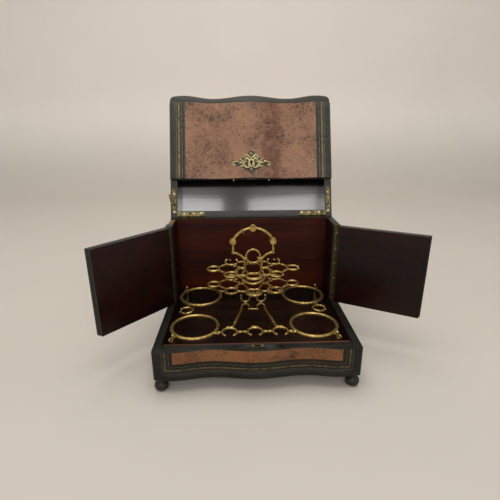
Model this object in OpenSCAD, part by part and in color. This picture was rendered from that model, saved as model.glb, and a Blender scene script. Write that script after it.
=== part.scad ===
// Box for spirits with a tipping lid, a folding front flap, two side doors
// and a lift-out rack for four decanters and sixteen small glasses.
// X runs to the right, Y to the back, Z up. The origin lies on the plane the
// feet stand on, in the middle of the case. It is drawn open, as it is shown.

/* [Case] */
// Width of the body, lid and flap
case_w = 330; // [300:1:360]
// Distance from the origin to the back face
case_back = 127; // [120:1:140]
// Mean distance from the origin to the wavy front face
front_mean = 121.75; // [115:0.25:135]
// Height of the front's waves either side of the mean
wave_amp = 3.45; // [0:0.05:5]
// Distance from the middle to the first hollow of the wave
wave_hollow = 76; // [70:1:84]
// Distance from the hollow to the outer crest
wave_crest = 61; // [52:1:66]
// Radius of the front corners
corner_r = 8; // [4:0.5:10]
// Overhang of the base past the body on the sides
base_over = 2.7; // [1:0.1:5]
// Overhang of the base past the body's front
base_front_over = 4.2; // [1:0.1:6]
// Radius of the base's front corners
base_corner_r = 3; // [1:0.5:8]
// Height of the base
base_h = 50.9; // [48:0.1:60]
// Thickness of the base's side rails
base_rail_t = 13.4; // [12:0.2:15]
// Depth from the base's mean front to the inside of its front rail
base_front_t = 19.6; // [18:0.1:22]
// Height of the walls above the base
wall_h = 154.5; // [145:0.5:170]
// Thickness of the side walls and doors
side_t = 13.2; // [12:0.2:14]
// Thickness of the back panel
back_t = 19; // [17:0.5:22]
// Depth of the fixed side walls, measured from the back face
fixed_side_d = 77; // [66:1:90]
// Height of the inside floor above the base's underside
floor_rise = 21.7; // [18:0.1:28]
// Thickness of the inside floor board
floor_t = 6; // [4:0.5:8]
// Thickness of the bottom board
bottom_t = 6; // [4:0.5:8]

/* [Feet] */
// Height of the feet
foot_h = 23; // [14:0.5:28]
// Largest radius of the feet
foot_r = 10.6; // [9:0.1:12]
// Radius of the foot's flat sole
sole_r = 7.5; // [5:0.25:8]
// Distance from the base's side in to the middle of a foot
foot_side_in = 10.7; // [10:0.1:20]
// Distance from the back face in to the middle of a back foot
foot_back_in = 10; // [9:0.5:20]
// Distance from the front's mean line in to the middle of a front foot
foot_front_in = 4.75; // [4.5:0.25:20]

/* [Doors] */
// How far the left door stands open
left_open = 41.2; // [0:0.2:95]
// How far the right door stands open
right_open = 61.4; // [0:0.2:95]
// Depth of the stepped edge at the door's free end
door_step = 2; // [1:0.2:3]

/* [Lid] */
// Height of the lid
lid_h = 48; // [44:0.5:60]
// Thickness of the lid's side walls
lid_side_t = 14; // [12:0.5:16]
// Depth of the lid's front rail, from the mean front
lid_front_t = 17.5; // [16:0.5:19]
// Thickness of the lid's rear rail
lid_rear_t = 13.6; // [12.6:0.2:16]
// Thickness of the lid's top board
lid_top_t = 11.5; // [9:0.5:14]
// Gap between lid and walls when shut
lid_gap = 0.3; // [0.2:0.1:0.8]
// Height of the lid's hinge axis above its rim
lid_axis_up = 2.4; // [2.2:0.1:3]
// Distance of the lid's hinge axis from the back face
lid_axis_in = 3.8; // [3.4:0.1:5]
// How far the lid stands open
lid_open = 110.6; // [0:0.2:110.6]

/* [Flap] */
// Thickness of the flap from crest to inner face
flap_t = 18.3; // [16:0.1:19]
// Distance between the flap's hinge axis and its inner face and top edge
flap_axis_off = 1.4; // [1.4:0.1:1.8]
// How far the flap is folded against the lid
flap_fold = 90; // [0:1:90]
// Clearance round the flap
flap_gap = 0.4; // [0.3:0.1:1]
// Spread of the locating pins from the middle
pin_x = 36; // [28:1:60]
// Radius of the locating pins
pin_r = 1.5; // [1:0.1:2]
// Length of the locating pins below the flap
pin_len = 4; // [2:0.5:6]

/* [Inlay] */
// Thickness of veneer and inlaid lines
veneer_t = 0.8; // [0.6:0.1:1.2]
// Width of the broad brass line
line_w = 3.4; // [2:0.1:4]
// Width of the thin brass lines
thin_w = 0.9; // [0.6:0.1:1.4]
// Edge to the middle of the outer thin line
line_1 = 16; // [14:0.1:17]
// Edge to the middle of the broad line
line_2 = 20.9; // [20:0.1:22]
// Edge to the middle of the inner thin line
line_3 = 26.9; // [26:0.1:28]
// Edge to the burr veneer
burr_in = 33; // [31:0.1:35]
// Half width of the escutcheon
escutcheon_w = 39.5; // [30:0.5:44]
// Half height of the escutcheon
escutcheon_h = 24; // [18:0.5:28]
// Height of the keyhole above the flap's lower edge
keyhole_up = 31.5; // [28:0.5:40]

/* [Hinges] */
// Thickness of hinge leaves and plates
leaf_t = 1.2; // [1:0.05:1.4]
// Radius of the long door hinge's knuckles
knuckle_r = 1.9; // [1.7:0.05:2]
// Radius of the hinge pins
hinge_pin_r = 0.8; // [0.6:0.05:1]
// Radial clearance round the hinge pins
pin_clear = 0.05; // [0.03:0.01:0.1]
// Width of the long door hinge's leaves
door_leaf_w = 10.4; // [8:0.2:11]
// Number of knuckles in the long door hinge
door_knuckles = 15; // [7:2:21]
// Length of the lid hinges along the rear rail
lid_leaf_l = 55; // [40:1:60]
// Length of the lid plates along the side rims
lid_arm_l = 58; // [50:1:64]
// Length of the flap's hinges
flap_leaf_l = 42; // [30:1:60]
// Distance from the middle to the flap's hinges
flap_hinge_x = 100; // [80:1:110]

/* [Rack] */
// Sideways place of the rack's middle
rack_x = -2.4; // [-3:0.1:3]
// Depth place of the rack's middle
rack_y_off = 0.175; // [-2:0.025:2]
// Inner radius of the decanter rings
ring_r = 36.6; // [34:0.2:37]
// Width of the decanter rings' band
ring_w = 6; // [4:0.2:6.4]
// Height of the decanter rings' band
ring_h = 6; // [4:0.2:8]
// Average gap between the decanter rings and the sides
ring_side_gap = 6.45; // [4:0.05:9]
// Average gap between the decanter rings and the tray's front and back
ring_end_gap = 4.875; // [4:0.025:8]
// Height of the decanter rings above the inside floor
ring_up = 35; // [30:1:40]
// Radius of the legs
leg_r = 2.4; // [2:0.1:3]
// Radius of the cast rods
rod_r = 2.1; // [1.6:0.1:2.4]
// Radius of the thin cast rods in the tiers
tier_rod_r = 1.7; // [1.4:0.1:2]
// Height of the lower glass tier above the decanter rings
lower_tier_up = 52.5; // [48:0.5:56]
// Height of the upper glass tier above the decanter rings
upper_tier_up = 83; // [79:0.5:88]
// Radius of the glass rings, to the middle of the rod
glass_r = 11; // [9:0.25:11.5]
// Radius of the front and back glass rings
crown_r = 13.6; // [12:0.2:14]
// Height of the handle's middle rosette above the decanter rings
handle_up = 158.5; // [150:0.5:166]
// Half width of the handle
handle_x = 35.7; // [30:0.1:40]

/* [Hidden] */
$fn = 48;

ebony = [0.17, 0.17, 0.15];
burr_colour = [0.62, 0.42, 0.30];
mahogany = [0.32, 0.10, 0.06];
brass = [0.72, 0.60, 0.30];
gilt = [0.80, 0.66, 0.32];

half_w = case_w / 2;
base_top = foot_h + base_h;
wall_top = base_top + wall_h;
floor_z = foot_h + floor_rise;
front_crest = front_mean + wave_amp;
fixed_front = case_back - fixed_side_d;
back_inner = case_back - back_t;
foot_x = half_w + base_over - foot_side_in;
foot_back_y = case_back - foot_back_in;
foot_front_y = foot_front_in - front_mean;
wave_step = 6;
eps = 0.01;
cut = 20;

// Lid and flap in the shut position
rim_z = wall_top + lid_gap;
lid_top_z = rim_z + lid_h;
lid_axis_y = case_back - lid_axis_in;
lid_axis_z = rim_z + lid_axis_up;
flap_inner_y = -front_crest + flap_t;
flap_top_z = rim_z - lid_gap;
flap_axis_y = flap_inner_y + flap_axis_off;
flap_axis_z = flap_top_z + flap_axis_off;
flap_bottom_z = base_top + flap_gap;
flap_half_w = half_w - flap_gap - 0.2;
lid_cavity_top = lid_top_z - lid_top_t;
lid_cavity_front = -front_mean + lid_front_t;

// Door and door hinge
door_z0 = base_top + 0.3;
door_z1 = wall_top - 0.2;
door_gap = 0.1;
door_axis_x = half_w + 0.2;
door_axis_y = fixed_front;
door_end_y = flap_inner_y + flap_gap + 0.2;
knuckle_room = 0.25;
recess_over = 1;
escutcheon_proud = 0.3;

// Screws
screw_head_r = 1.7;
screw_shank_r = 0.9;
screw_head_h = 1;
screw_len = 7;
screw_clear = 0.03;

// Base fittings
line_drop = 2;
tray_front = -front_mean + base_front_t - base_front_over;
bottom_half_w = half_w - 25;
bottom_front = -front_mean + 25;
bottom_back = case_back - 25;
sole_h = 2.2;
foot_neck_r = 8;
foot_spigot_r = 4;
foot_spigot_l = 8;

// Lock
lock_w = 40;
lock_h = 44;
lock_t = 10;
keyhole_r = 2;
bolt_w = 8;
bolt_t = 3.6;
bolt_l = 18;
bolt_travel = 6;
bolt_y = flap_inner_y - lock_t / 2;
selvedge_w = 17;
selvedge_d = 8;
strike_w = 21;
strike_d = 8;
pin_seat = 7;

// Lid hinges
lid_corner_sweep = norm([lid_axis_in, lid_axis_up]);
rebate_z = lid_axis_z - lid_corner_sweep - 0.3;
lid_hinge_x1 = half_w - side_t - 0.3;
lid_hinge_x0 = lid_hinge_x1 - lid_leaf_l + 0.3;
lid_knuckles = 5;
lid_leaf_d = 8.5;
lid_leaf_sweep = 2.9;
lid_arm_x0 = half_w - 11;
lid_arm_x1 = half_w - 3.5;
lid_arm_y0 = 5.8;
lid_slot_v = 20.5;
lid_notch_r = lid_corner_sweep + 1.2;
lid_back_gap = 0.3;
lid_arm_screws = [8.5, 46];
case_leaf_d = 4;
hinge_screws = 5;
knuckle_end = 0.08;

// Stop link
link_v = 14;
link_l = 31;
link_t = 1.6;
link_lean = 10.6;
link_room = 5;
link_sink = 3;
link_wall = 2.5;

// Flap hinges
flap_knuckles = 5;
flap_leaf_w = 11;
flap_notch_r = 3;

// Outside of the doors
door_line_in = 12;
door_line_w = 2.2;
door_burr_in = 20;

// Rack levels
ring_z = floor_z + ring_up;
ring_out = ring_r + ring_w;
ring_x = half_w - side_t - ring_side_gap - ring_out;
ring_y = (back_inner - tray_front) / 2 - ring_end_gap - ring_out;
rack_y = (back_inner + tray_front) / 2 + rack_y_off;
lower_z = ring_z + lower_tier_up;
upper_z = ring_z + upper_tier_up;
handle_z = ring_z + handle_up;
chain_r = 12;
chain_y = ring_y + 20.3;
chain_link_l = 10.3;
chain_step = ring_x - sqrt(ring_out * ring_out - pow(chain_y - ring_y, 2)) - chain_link_l - chain_r;
side_scroll_x = ring_x + 20.25;
side_scroll_r = 9.8;
leg_out_x = 32.4;
leg_out_y = 34.8;
tier_end_x = 71.5;
tier_front_x = 39.5;
tier_front_y = 29.5;
tier_crown_y = 37;
solder_gap = 0.2;
column_x = 15.2;
hip_up = 134;
elbow_up = 113.3;
elbow_run = 7.6;
flare_x = 21.3;
flare_up = 66;
bowl_up = 51.8;
neck_x = 7.5;
neck_up = 34;
hook_x = 14.5;
hook_r = 8.5;
hook_up = 25;
curl_r = 7.4;
curl_up = 4.5;
eye_up = 106;
eye_r = 12.6;
strut_x = 6;
brace_in = 5.5;
rosette_r = 6;
rosette_t = 1.2;
boss_t = 5;

// Front curve: the middle wave, the outer wave and the rounded corner
function wave(x) = abs(x) <= wave_hollow
    ? front_mean + wave_amp * cos(180 * abs(x) / wave_hollow)
    : front_mean - wave_amp * cos(180 * (abs(x) - wave_hollow) / wave_crest);
function corner_drop(x, hw, r) = let (over = max(0, abs(x) - (hw - r))) r - sqrt(max(0, r * r - over * over));
function front_y(x, hw, out, r = corner_r) = -wave(x) - out + corner_drop(x, hw, r);
function curve_xs(x0, x1) = let (n = max(1, ceil((x1 - x0) / wave_step)))
    [for (i = [0 : n]) x0 + (x1 - x0) * i / n];
function corner_xs(hw, r) = [for (a = [15 : 15 : 90]) hw - r + r * sin(a)];
function front_xs(hw, r) = concat([for (i = [5 : -1 : 0]) -corner_xs(hw, r)[i]],
    curve_xs(-(hw - r), hw - r), corner_xs(hw, r));
function front_points(hw, out, inset, r) =
    [for (x = front_xs(hw, r)) [x * (hw - inset) / hw, front_y(x, hw, out, r) + inset]];

// Plan of the case with its wavy front, set in on every side by inset
module plan(hw, out, back, inset = 0, r = corner_r) {
    polygon(concat(front_points(hw, out, inset, r), [[hw - inset, back - inset], [-(hw - inset), back - inset]]));
}

// Slab that follows the front between two depths behind the surface
module front_slab(hw, out, d0, d1, x0, x1, z0, z1) {
    xs = curve_xs(x0, x1);
    n = len(xs);
    translate([0, 0, z0])
        linear_extrude(z1 - z0)
            polygon(concat([for (x = xs) [x, front_y(x, hw, out) + d0]],
                [for (i = [n - 1 : -1 : 0]) [xs[i], front_y(xs[i], hw, out) + d1]]));
}

module block(x0, x1, y0, y1, z0, z1) {
    translate([x0, y0, z0]) cube([x1 - x0, y1 - y0, z1 - z0]);
}

module rod_x(x0, x1, y, z, r) {
    translate([x0, y, z]) rotate([0, 90, 0]) cylinder(h = x1 - x0, r = r);
}

module rod_z(x, y, z0, z1, r) {
    translate([x, y, z0]) cylinder(h = z1 - z0, r = r);
}

// Straight rod between two points
module rod(p, q, r) {
    d = q - p;
    l = norm(d);
    translate(p) rotate([0, acos(d[2] / l), atan2(d[1], d[0])]) cylinder(h = l, r = r, $fn = 24);
}

module ball(p, r) {
    translate(p) sphere(r = r, $fn = 24);
}

// Bent rod in the XY plane round a centre, from one angle over a sweep
module arc(p, radius, from, sweep, r) {
    translate(p) rotate([0, 0, from]) rotate_extrude(angle = sweep, $fn = 64) translate([radius, 0]) circle(r = r, $fn = 24);
}

// Bent rod in the XZ plane, with angles counted from +X towards +Z
module arc_up(p, radius, from, sweep, r) {
    translate(p) rotate([90, 0, 0]) arc([0, 0, 0], radius, from, sweep, r);
}

// Countersunk wood screw with its head at the origin, pointing down; room widens it for the hole
module screw(room = 0) {
    translate([0, 0, -screw_head_h]) cylinder(h = screw_head_h, r1 = screw_shank_r + room, r2 = screw_head_r + room);
    translate([0, 0, -screw_len - room]) cylinder(h = screw_len - screw_head_h + room + eps, r = screw_shank_r + room);
}

// Places that pieces are drawn in
module lid_place() {
    translate([0, lid_axis_y, lid_axis_z]) rotate([-lid_open, 0, 0]) translate([0, -lid_axis_y, -lid_axis_z]) children();
}
module flap_place() {
    lid_place() translate([0, flap_axis_y, flap_axis_z]) rotate([flap_fold, 0, 0])
        translate([0, -flap_axis_y, -flap_axis_z]) children();
}
module right_door_place() {
    translate([door_axis_x, door_axis_y, 0]) rotate([0, 0, right_open]) translate([-door_axis_x, -door_axis_y, 0]) children();
}
module left_door_place() {
    translate([-door_axis_x, door_axis_y, 0]) rotate([0, 0, -left_open]) translate([door_axis_x, -door_axis_y, 0])
        mirror([1, 0, 0]) children();
}
module rack_place() {
    translate([rack_x, rack_y, 0]) children();
}

// Inlaid frame line on the front, open towards the flap: low says which way the frame closes.
// Its recess reaches out past the surface by over, so that no skin is left before it.
module frame_line(hw, out, in, w, z_edge, z_open, low, over) {
    z_mid = low ? z_edge + in : z_edge - in;
    x_mid = hw - in;
    front_slab(hw, out, -over, veneer_t, -x_mid - w / 2, x_mid + w / 2, z_mid - w / 2, z_mid + w / 2);
    for (s = [-1, 1])
        front_slab(hw, out, -over, veneer_t, s * x_mid - w / 2, s * x_mid + w / 2, low ? z_mid : z_open, low ? z_open : z_mid);
}

// Base

module base_lines(over = 0) {
    for (in_w = [[line_1, thin_w], [line_2, line_w], [line_3, thin_w]])
        frame_line(half_w + base_over, base_front_over, in_w[0], in_w[1], foot_h - line_drop, base_top, true, over);
}
module base_burr_panel(over = 0) {
    x = half_w + base_over - burr_in;
    front_slab(half_w + base_over, base_front_over, -over, veneer_t, -x, x, foot_h + burr_in - line_drop, base_top + over);
}
module tray_room(z0, z1) {
    x = half_w + base_over - base_rail_t;
    block(-x, x, tray_front, back_inner, z0, z1);
}
module base_frame() {
    color(ebony) difference() {
        translate([0, 0, foot_h]) linear_extrude(base_h)
            plan(half_w + base_over, base_front_over, case_back, 0, base_corner_r);
        tray_room(foot_h + bottom_t, base_top + cut);
        block(-bottom_half_w, bottom_half_w, bottom_front, bottom_back, foot_h - cut, foot_h + bottom_t + eps);
        base_burr_panel(recess_over);
        base_lines(recess_over);
        strike_shape();
        translate([0, bolt_y, base_top - bolt_travel - 2]) linear_extrude(cut) square([bolt_w + 1, bolt_t + 1], center = true);
        for (s = [-1, 1]) rod_z(s * pin_x, bolt_y, base_top - pin_len - 1, base_top + cut, pin_r + 0.6);
        foot_places() foot_spigot(0.05);
        strike_screw_places() screw(screw_clear);
    }
}
module bottom_board() {
    color(ebony) block(-bottom_half_w, bottom_half_w, bottom_front, bottom_back, foot_h, foot_h + bottom_t);
}
module floor_board() {
    color(mahogany) tray_room(floor_z - floor_t, floor_z);
}
module foot_places() {
    for (sx = [-1, 1], y = [foot_front_y, foot_back_y]) translate([sx * foot_x, y, 0]) children();
}
module foot_spigot(room) {
    translate([0, 0, foot_h - eps]) cylinder(h = foot_spigot_l + eps + room, r = foot_spigot_r + room);
}
module feet() {
    color(ebony) foot_places() union() {
        cylinder(h = sole_h, r = sole_r);
        translate([0, 0, sole_h]) rotate_extrude() foot_profile();
        foot_spigot(0);
    }
}
module foot_profile() {
    h = foot_h - sole_h;
    steps = 8;
    polygon(concat([[0, 0], [sole_r, 0]],
        [for (i = [1 : steps - 1]) let (t = i / steps)
            [sole_r + (foot_r - sole_r) * sin(180 * t) + (foot_neck_r - sole_r) * t, h * t]],
        [[foot_neck_r, h], [0, h]]));
}
module base_burr() {
    color(burr_colour) base_burr_panel();
}
module base_brass_lines() {
    color(brass) base_lines();
}

// Strike plate for the lock, let into the top of the front rail
module strike_shape() {
    block(-strike_w / 2, strike_w / 2, bolt_y - strike_d / 2, bolt_y + strike_d / 2, base_top - leaf_t, base_top);
}
module strike_screw_places() {
    for (s = [-1, 1]) translate([s * (strike_w / 2 - screw_head_r - 1), bolt_y, base_top]) children();
}
module strike_plate() {
    color(brass) difference() {
        strike_shape();
        translate([0, bolt_y, base_top - cut]) linear_extrude(2 * cut) square([bolt_w + 1, bolt_t + 1], center = true);
        strike_screw_places() screw(screw_clear);
    }
}

// Back panel and fixed sides

module lid_sweep_rebate() {
    block(-case_w, case_w, lid_axis_y - lid_corner_sweep - 0.3, case_back + cut, rebate_z, wall_top + cut);
    lid_place() block(-case_w, case_w, case_back - lid_rear_t, case_back + lid_back_gap, rim_z, lid_top_z);
}
module back_panel() {
    x = half_w - side_t;
    color(mahogany) difference() {
        block(-x, x, back_inner, case_back, base_top, wall_top);
        lid_sweep_rebate();
        for (s = [-1, 1]) {
            case_leaf_seat(s);
            case_leaf_screw_places(s) screw(screw_clear);
        }
    }
}
module fixed_side(s) {
    mirror([s < 0 ? 1 : 0, 0, 0]) difference() {
        block(half_w - side_t, half_w, door_axis_y + door_gap + leaf_t, case_back, base_top, wall_top);
        lid_sweep_rebate();
        rod_z(door_axis_x, door_axis_y, base_top - cut, wall_top + cut, knuckle_r + knuckle_room);
        case_hinge_screw_places() screw(screw_clear);
        if (s < 0)
            block(half_w - side_t + link_wall, half_w + cut, lid_axis_y - link_v - link_l - link_room,
                lid_axis_y - lid_corner_sweep - 0.3 - link_wall, wall_top - link_sink, wall_top + cut);
    }
}
module left_fixed_side() {
    color(ebony) fixed_side(-1);
}
module right_fixed_side() {
    color(ebony) fixed_side(1);
}

// Long door hinges, drawn for the right side with the door shut

function knuckle_z(i) = door_z0 + (door_z1 - door_z0) * i / door_knuckles;
module door_knuckle_row(first, r, room) {
    for (i = [first : 2 : door_knuckles - 1])
        rod_z(door_axis_x, door_axis_y, knuckle_z(i) - room, knuckle_z(i + 1) + room, r);
}
module door_leaf(s, first) {
    y0 = s > 0 ? door_axis_y + door_gap : door_axis_y - door_gap - leaf_t;
    difference() {
        union() {
            block(door_axis_x - door_leaf_w, door_axis_x, y0, y0 + leaf_t, door_z0, door_z1);
            door_knuckle_row(first, knuckle_r, -knuckle_end);
        }
        door_knuckle_row(1 - first, knuckle_r + knuckle_room, knuckle_end);
        rod_z(door_axis_x, door_axis_y, door_z0 - cut, door_z1 + cut, hinge_pin_r + pin_clear);
        if (s > 0) case_hinge_screw_places() screw(screw_clear);
        else door_screw_places() screw(screw_clear);
    }
}
module hinge_screw_row() {
    for (i = [0 : hinge_screws - 1])
        translate([door_axis_x - door_leaf_w * 0.62, 0, door_z0 + (door_z1 - door_z0) * (i + 0.5) / hinge_screws]) children();
}
module case_hinge_screw_places() {
    translate([0, door_axis_y + door_gap, 0]) hinge_screw_row() rotate([90, 0, 0]) children();
}
module door_screw_places() {
    translate([0, door_axis_y - door_gap, 0]) hinge_screw_row() rotate([-90, 0, 0]) children();
}
module door_pin() {
    rod_z(door_axis_x, door_axis_y, door_z0, door_z1, hinge_pin_r);
}
module right_door_hinge_case_leaf() {
    color(brass) door_leaf(1, 0);
}
module left_door_hinge_case_leaf() {
    color(brass) mirror([1, 0, 0]) door_leaf(1, 0);
}
module right_door_hinge_pin() {
    color(brass) door_pin();
}
module left_door_hinge_pin() {
    color(brass) mirror([1, 0, 0]) door_pin();
}

// Doors, drawn for the right side and shut

module door_face(in, t0, t1) {
    block(half_w - t1, half_w - t0, door_end_y - door_step + in, door_axis_y - door_gap - leaf_t - in, door_z0 + in, door_z1 - in);
}
module door_line() {
    difference() {
        door_face(door_line_in, 0, veneer_t);
        door_face(door_line_in + door_line_w, -eps, veneer_t + eps);
    }
}
module door_panel() {
    y1 = door_axis_y - door_gap - leaf_t;
    difference() {
        union() {
            block(half_w - side_t, half_w, door_end_y, y1, door_z0, door_z1);
            block(half_w - side_t / 2, half_w, door_end_y - door_step, y1, door_z0, door_z1);
        }
        door_line();
        door_face(door_burr_in, 0, veneer_t);
        rod_z(door_axis_x, door_axis_y, base_top - cut, wall_top + cut, knuckle_r + knuckle_room);
        door_screw_places() screw(screw_clear);
    }
}
module right_door() {
    color(ebony) right_door_place() door_panel();
}
module right_door_burr() {
    color(burr_colour) right_door_place() door_face(door_burr_in, 0, veneer_t);
}
module right_door_brass_line() {
    color(brass) right_door_place() door_line();
}
module right_door_hinge_leaf() {
    color(brass) right_door_place() door_leaf(-1, 1);
}
module right_door_screws() {
    color(brass) right_door_place() door_screw_places() screw();
}
module left_door() {
    color(ebony) left_door_place() door_panel();
}
module left_door_burr() {
    color(burr_colour) left_door_place() door_face(door_burr_in, 0, veneer_t);
}
module left_door_brass_line() {
    color(brass) left_door_place() door_line();
}
module left_door_hinge_leaf() {
    color(brass) left_door_place() door_leaf(-1, 1);
}
module left_door_screws() {
    color(brass) left_door_place() door_screw_places() screw();
}

// Lid hinges: a leaf on the back panel and an L-shaped plate in the lid's rim

function lid_knuckle_x(i) = lid_hinge_x0 + (lid_hinge_x1 - lid_hinge_x0) * i / lid_knuckles;
module lid_knuckle_row(first, r, room) {
    for (i = [first : 2 : lid_knuckles - 1])
        rod_x(lid_knuckle_x(i) - room, lid_knuckle_x(i + 1) + room, lid_axis_y, lid_axis_z, r);
}
module lid_pin_bore(room) {
    rod_x(lid_hinge_x0 - (room > 0 ? cut : 0), lid_hinge_x1 + (room > 0 ? cut : 0), lid_axis_y, lid_axis_z, hinge_pin_r + room);
}
module case_leaf_plate() {
    block(lid_hinge_x0, lid_hinge_x1, lid_axis_y - case_leaf_d, lid_axis_y + knuckle_r, rebate_z - leaf_t, rebate_z);
}
module case_leaf_seat(s) {
    mirror([s < 0 ? 1 : 0, 0, 0]) case_leaf_plate();
}
module case_leaf_screw_places(s) {
    mirror([s < 0 ? 1 : 0, 0, 0]) for (i = [0 : 2])
        translate([lid_hinge_x0 + lid_leaf_l * (i + 0.5) / 3, lid_axis_y - case_leaf_d + screw_head_r + 0.4, rebate_z]) children();
}
module case_leaf() {
    difference() {
        union() {
            case_leaf_plate();
            block(lid_hinge_x0, lid_hinge_x1, lid_axis_y + knuckle_r - leaf_t, lid_axis_y + knuckle_r, rebate_z - leaf_t, lid_axis_z);
            lid_knuckle_row(1, knuckle_r, -knuckle_end);
        }
        lid_knuckle_row(0, lid_leaf_sweep, knuckle_end);
        lid_pin_bore(pin_clear);
        case_leaf_screw_places(1) screw(screw_clear);
    }
}
module right_lid_hinge_case_leaf() {
    color(brass) case_leaf();
}
module left_lid_hinge_case_leaf() {
    color(brass) mirror([1, 0, 0]) case_leaf();
}
module lid_hinge_pins() {
    color(brass) for (s = [0, 1]) mirror([s, 0, 0]) lid_pin_bore(0);
}
module case_screws() {
    color(brass) {
        strike_screw_places() screw();
        for (s = [-1, 1]) {
            case_leaf_screw_places(s) screw();
            mirror([s < 0 ? 1 : 0, 0, 0]) case_hinge_screw_places() screw();
        }
    }
}

// Lid, drawn shut

module lid_arm(room = 0) {
    block(lid_arm_x0 - room, lid_arm_x1 + room, lid_axis_y - lid_arm_l - room, lid_axis_y - lid_arm_y0, rim_z - (room > 0 ? cut : 0), rim_z + leaf_t);
}
module lid_rear_arm() {
    block(lid_hinge_x0, lid_arm_x1, lid_axis_y - lid_leaf_d, lid_axis_y - lid_arm_y0, rim_z, rim_z + leaf_t);
    block(lid_hinge_x0, lid_hinge_x1, lid_axis_y - lid_leaf_d, lid_axis_y, rim_z, rim_z + leaf_t);
}
module lid_slot(depth) {
    block((lid_arm_x0 + lid_arm_x1) / 2 - 1.7, (lid_arm_x0 + lid_arm_x1) / 2 + 1.7, lid_axis_y - lid_slot_v - 4.8,
        lid_axis_y - lid_slot_v, rim_z - cut, rim_z + depth);
}
module lid_screw_places() {
    for (x = [0.1, 0.4, 0.75]) translate([lid_hinge_x0 + lid_leaf_l * x, lid_axis_y - lid_leaf_d / 2 - 1, rim_z]) rotate([180, 0, 0]) children();
    for (v = lid_arm_screws) translate([(lid_arm_x0 + lid_arm_x1) / 2, lid_axis_y - v, rim_z]) rotate([180, 0, 0]) children();
}
module lid_corner_plate() {
    difference() {
        union() {
            lid_rear_arm();
            lid_arm();
            lid_knuckle_row(0, knuckle_r, -knuckle_end);
        }
        lid_knuckle_row(1, knuckle_r + knuckle_room, knuckle_end);
        lid_pin_bore(pin_clear);
        lid_slot(cut);
        lid_screw_places() screw(screw_clear);
        link_pin_place() link_pin(0.05);
    }
}
module lid_inlay_lines(over = 0) {
    for (in_w = [[line_1, thin_w], [line_2, line_w], [line_3, thin_w]])
        frame_line(half_w, 0, in_w[0], in_w[1], lid_top_z + line_drop, rim_z, false, over);
}
module lid_front_panel(over = 0) {
    x = half_w - burr_in;
    front_slab(half_w, 0, -over, veneer_t, -x, x, rim_z, lid_top_z - burr_in + line_drop);
}
module lid_frame() {
    color(ebony) lid_place() difference() {
        translate([0, 0, rim_z]) linear_extrude(lid_h - lid_top_t) plan(half_w, 0, case_back);
        block(-half_w + lid_side_t, half_w - lid_side_t, lid_cavity_front, case_back - lid_rear_t, rim_z - cut, lid_top_z);
        lid_inlay_lines(recess_over);
        lid_front_panel(recess_over);
        for (s = [0, 1]) mirror([s, 0, 0]) {
            rod_x(lid_hinge_x0 - 0.3, lid_hinge_x1 + 0.3, lid_axis_y, lid_axis_z, lid_notch_r);
            block(lid_hinge_x0 - 0.3, lid_hinge_x1 + 0.3, lid_axis_y, case_back + cut, rim_z - cut, lid_axis_z + lid_notch_r - 1);
            lid_rear_arm();
            lid_arm();
            lid_slot(9);
            lid_screw_places() screw(screw_clear);
            flap_hinge_span(-0.3, 0.3) rod_x(0, flap_leaf_l + 0.6, flap_axis_y, flap_axis_z, flap_notch_r);
            flap_hinge_span(0, 0) lid_flap_leaf_plate();
            flap_hinge_span(0, 0) lid_flap_screw_places() screw(screw_clear);
        }
        mirror([1, 0, 0]) link_pin_place() link_pin(0.05);
    }
}
module lid_top_face(inset, z0, z1) {
    translate([0, 0, z0]) linear_extrude(z1 - z0) plan(half_w, 0, case_back, inset);
}
module lid_top_line(in, w) {
    difference() {
        lid_top_face(in - w / 2, lid_top_z - veneer_t, lid_top_z);
        lid_top_face(in + w / 2, lid_top_z - veneer_t - 1, lid_top_z + 1);
    }
}
module lid_top_lines() {
    lid_top_line(line_1, thin_w);
    lid_top_line(line_2, line_w);
    lid_top_line(line_3, thin_w);
}
module lid_top_board() {
    color(ebony) lid_place() difference() {
        lid_top_face(0, lid_cavity_top, lid_top_z);
        lid_inlay_lines(recess_over);
        lid_top_face(burr_in, lid_top_z - veneer_t, lid_top_z + 1);
        lid_top_lines();
    }
}
module lid_top_burr() {
    color(burr_colour) lid_place() lid_top_face(burr_in, lid_top_z - veneer_t, lid_top_z);
}
module lid_top_brass_lines() {
    color(brass) lid_place() lid_top_lines();
}
module lid_front_burr() {
    color(burr_colour) lid_place() lid_front_panel();
}
module lid_front_brass_lines() {
    color(brass) lid_place() lid_inlay_lines();
}
module right_lid_corner_plate() {
    color(brass) lid_place() lid_corner_plate();
}
module left_lid_corner_plate() {
    color(brass) lid_place() mirror([1, 0, 0]) lid_corner_plate();
}
module lid_screws() {
    color(brass) lid_place() for (s = [0, 1]) mirror([s, 0, 0]) {
        lid_screw_places() screw();
        flap_hinge_span(0, 0) lid_flap_screw_places() screw();
    }
}

// Loose stop link of the left lid hinge, pivoted on the lid's rim

module link_pin_place() {
    translate([(lid_arm_x0 + lid_arm_x1) / 2 + 1.2, lid_axis_y - link_v, rim_z]) children();
}
module link_pin(room) {
    translate([0, 0, -link_t - 0.6]) cylinder(h = link_t + 0.6 + leaf_t + 4 + room, r = 1 + room);
}
module left_stop_link() {
    color(brass) lid_place() mirror([1, 0, 0]) link_pin_place() union() {
        link_pin(0);
        translate([0, 0, -link_t - 0.2]) rotate([0, 0, -90 + link_lean]) linear_extrude(link_t) hull() {
            circle(r = 2.6);
            translate([link_l - 3.6, -0.6]) square([3.6, 5]);
            translate([link_l - 8, -2.6]) circle(r = 0.8);
        }
    }
}

// Flap hinges, each drawn from its own left end

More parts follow.
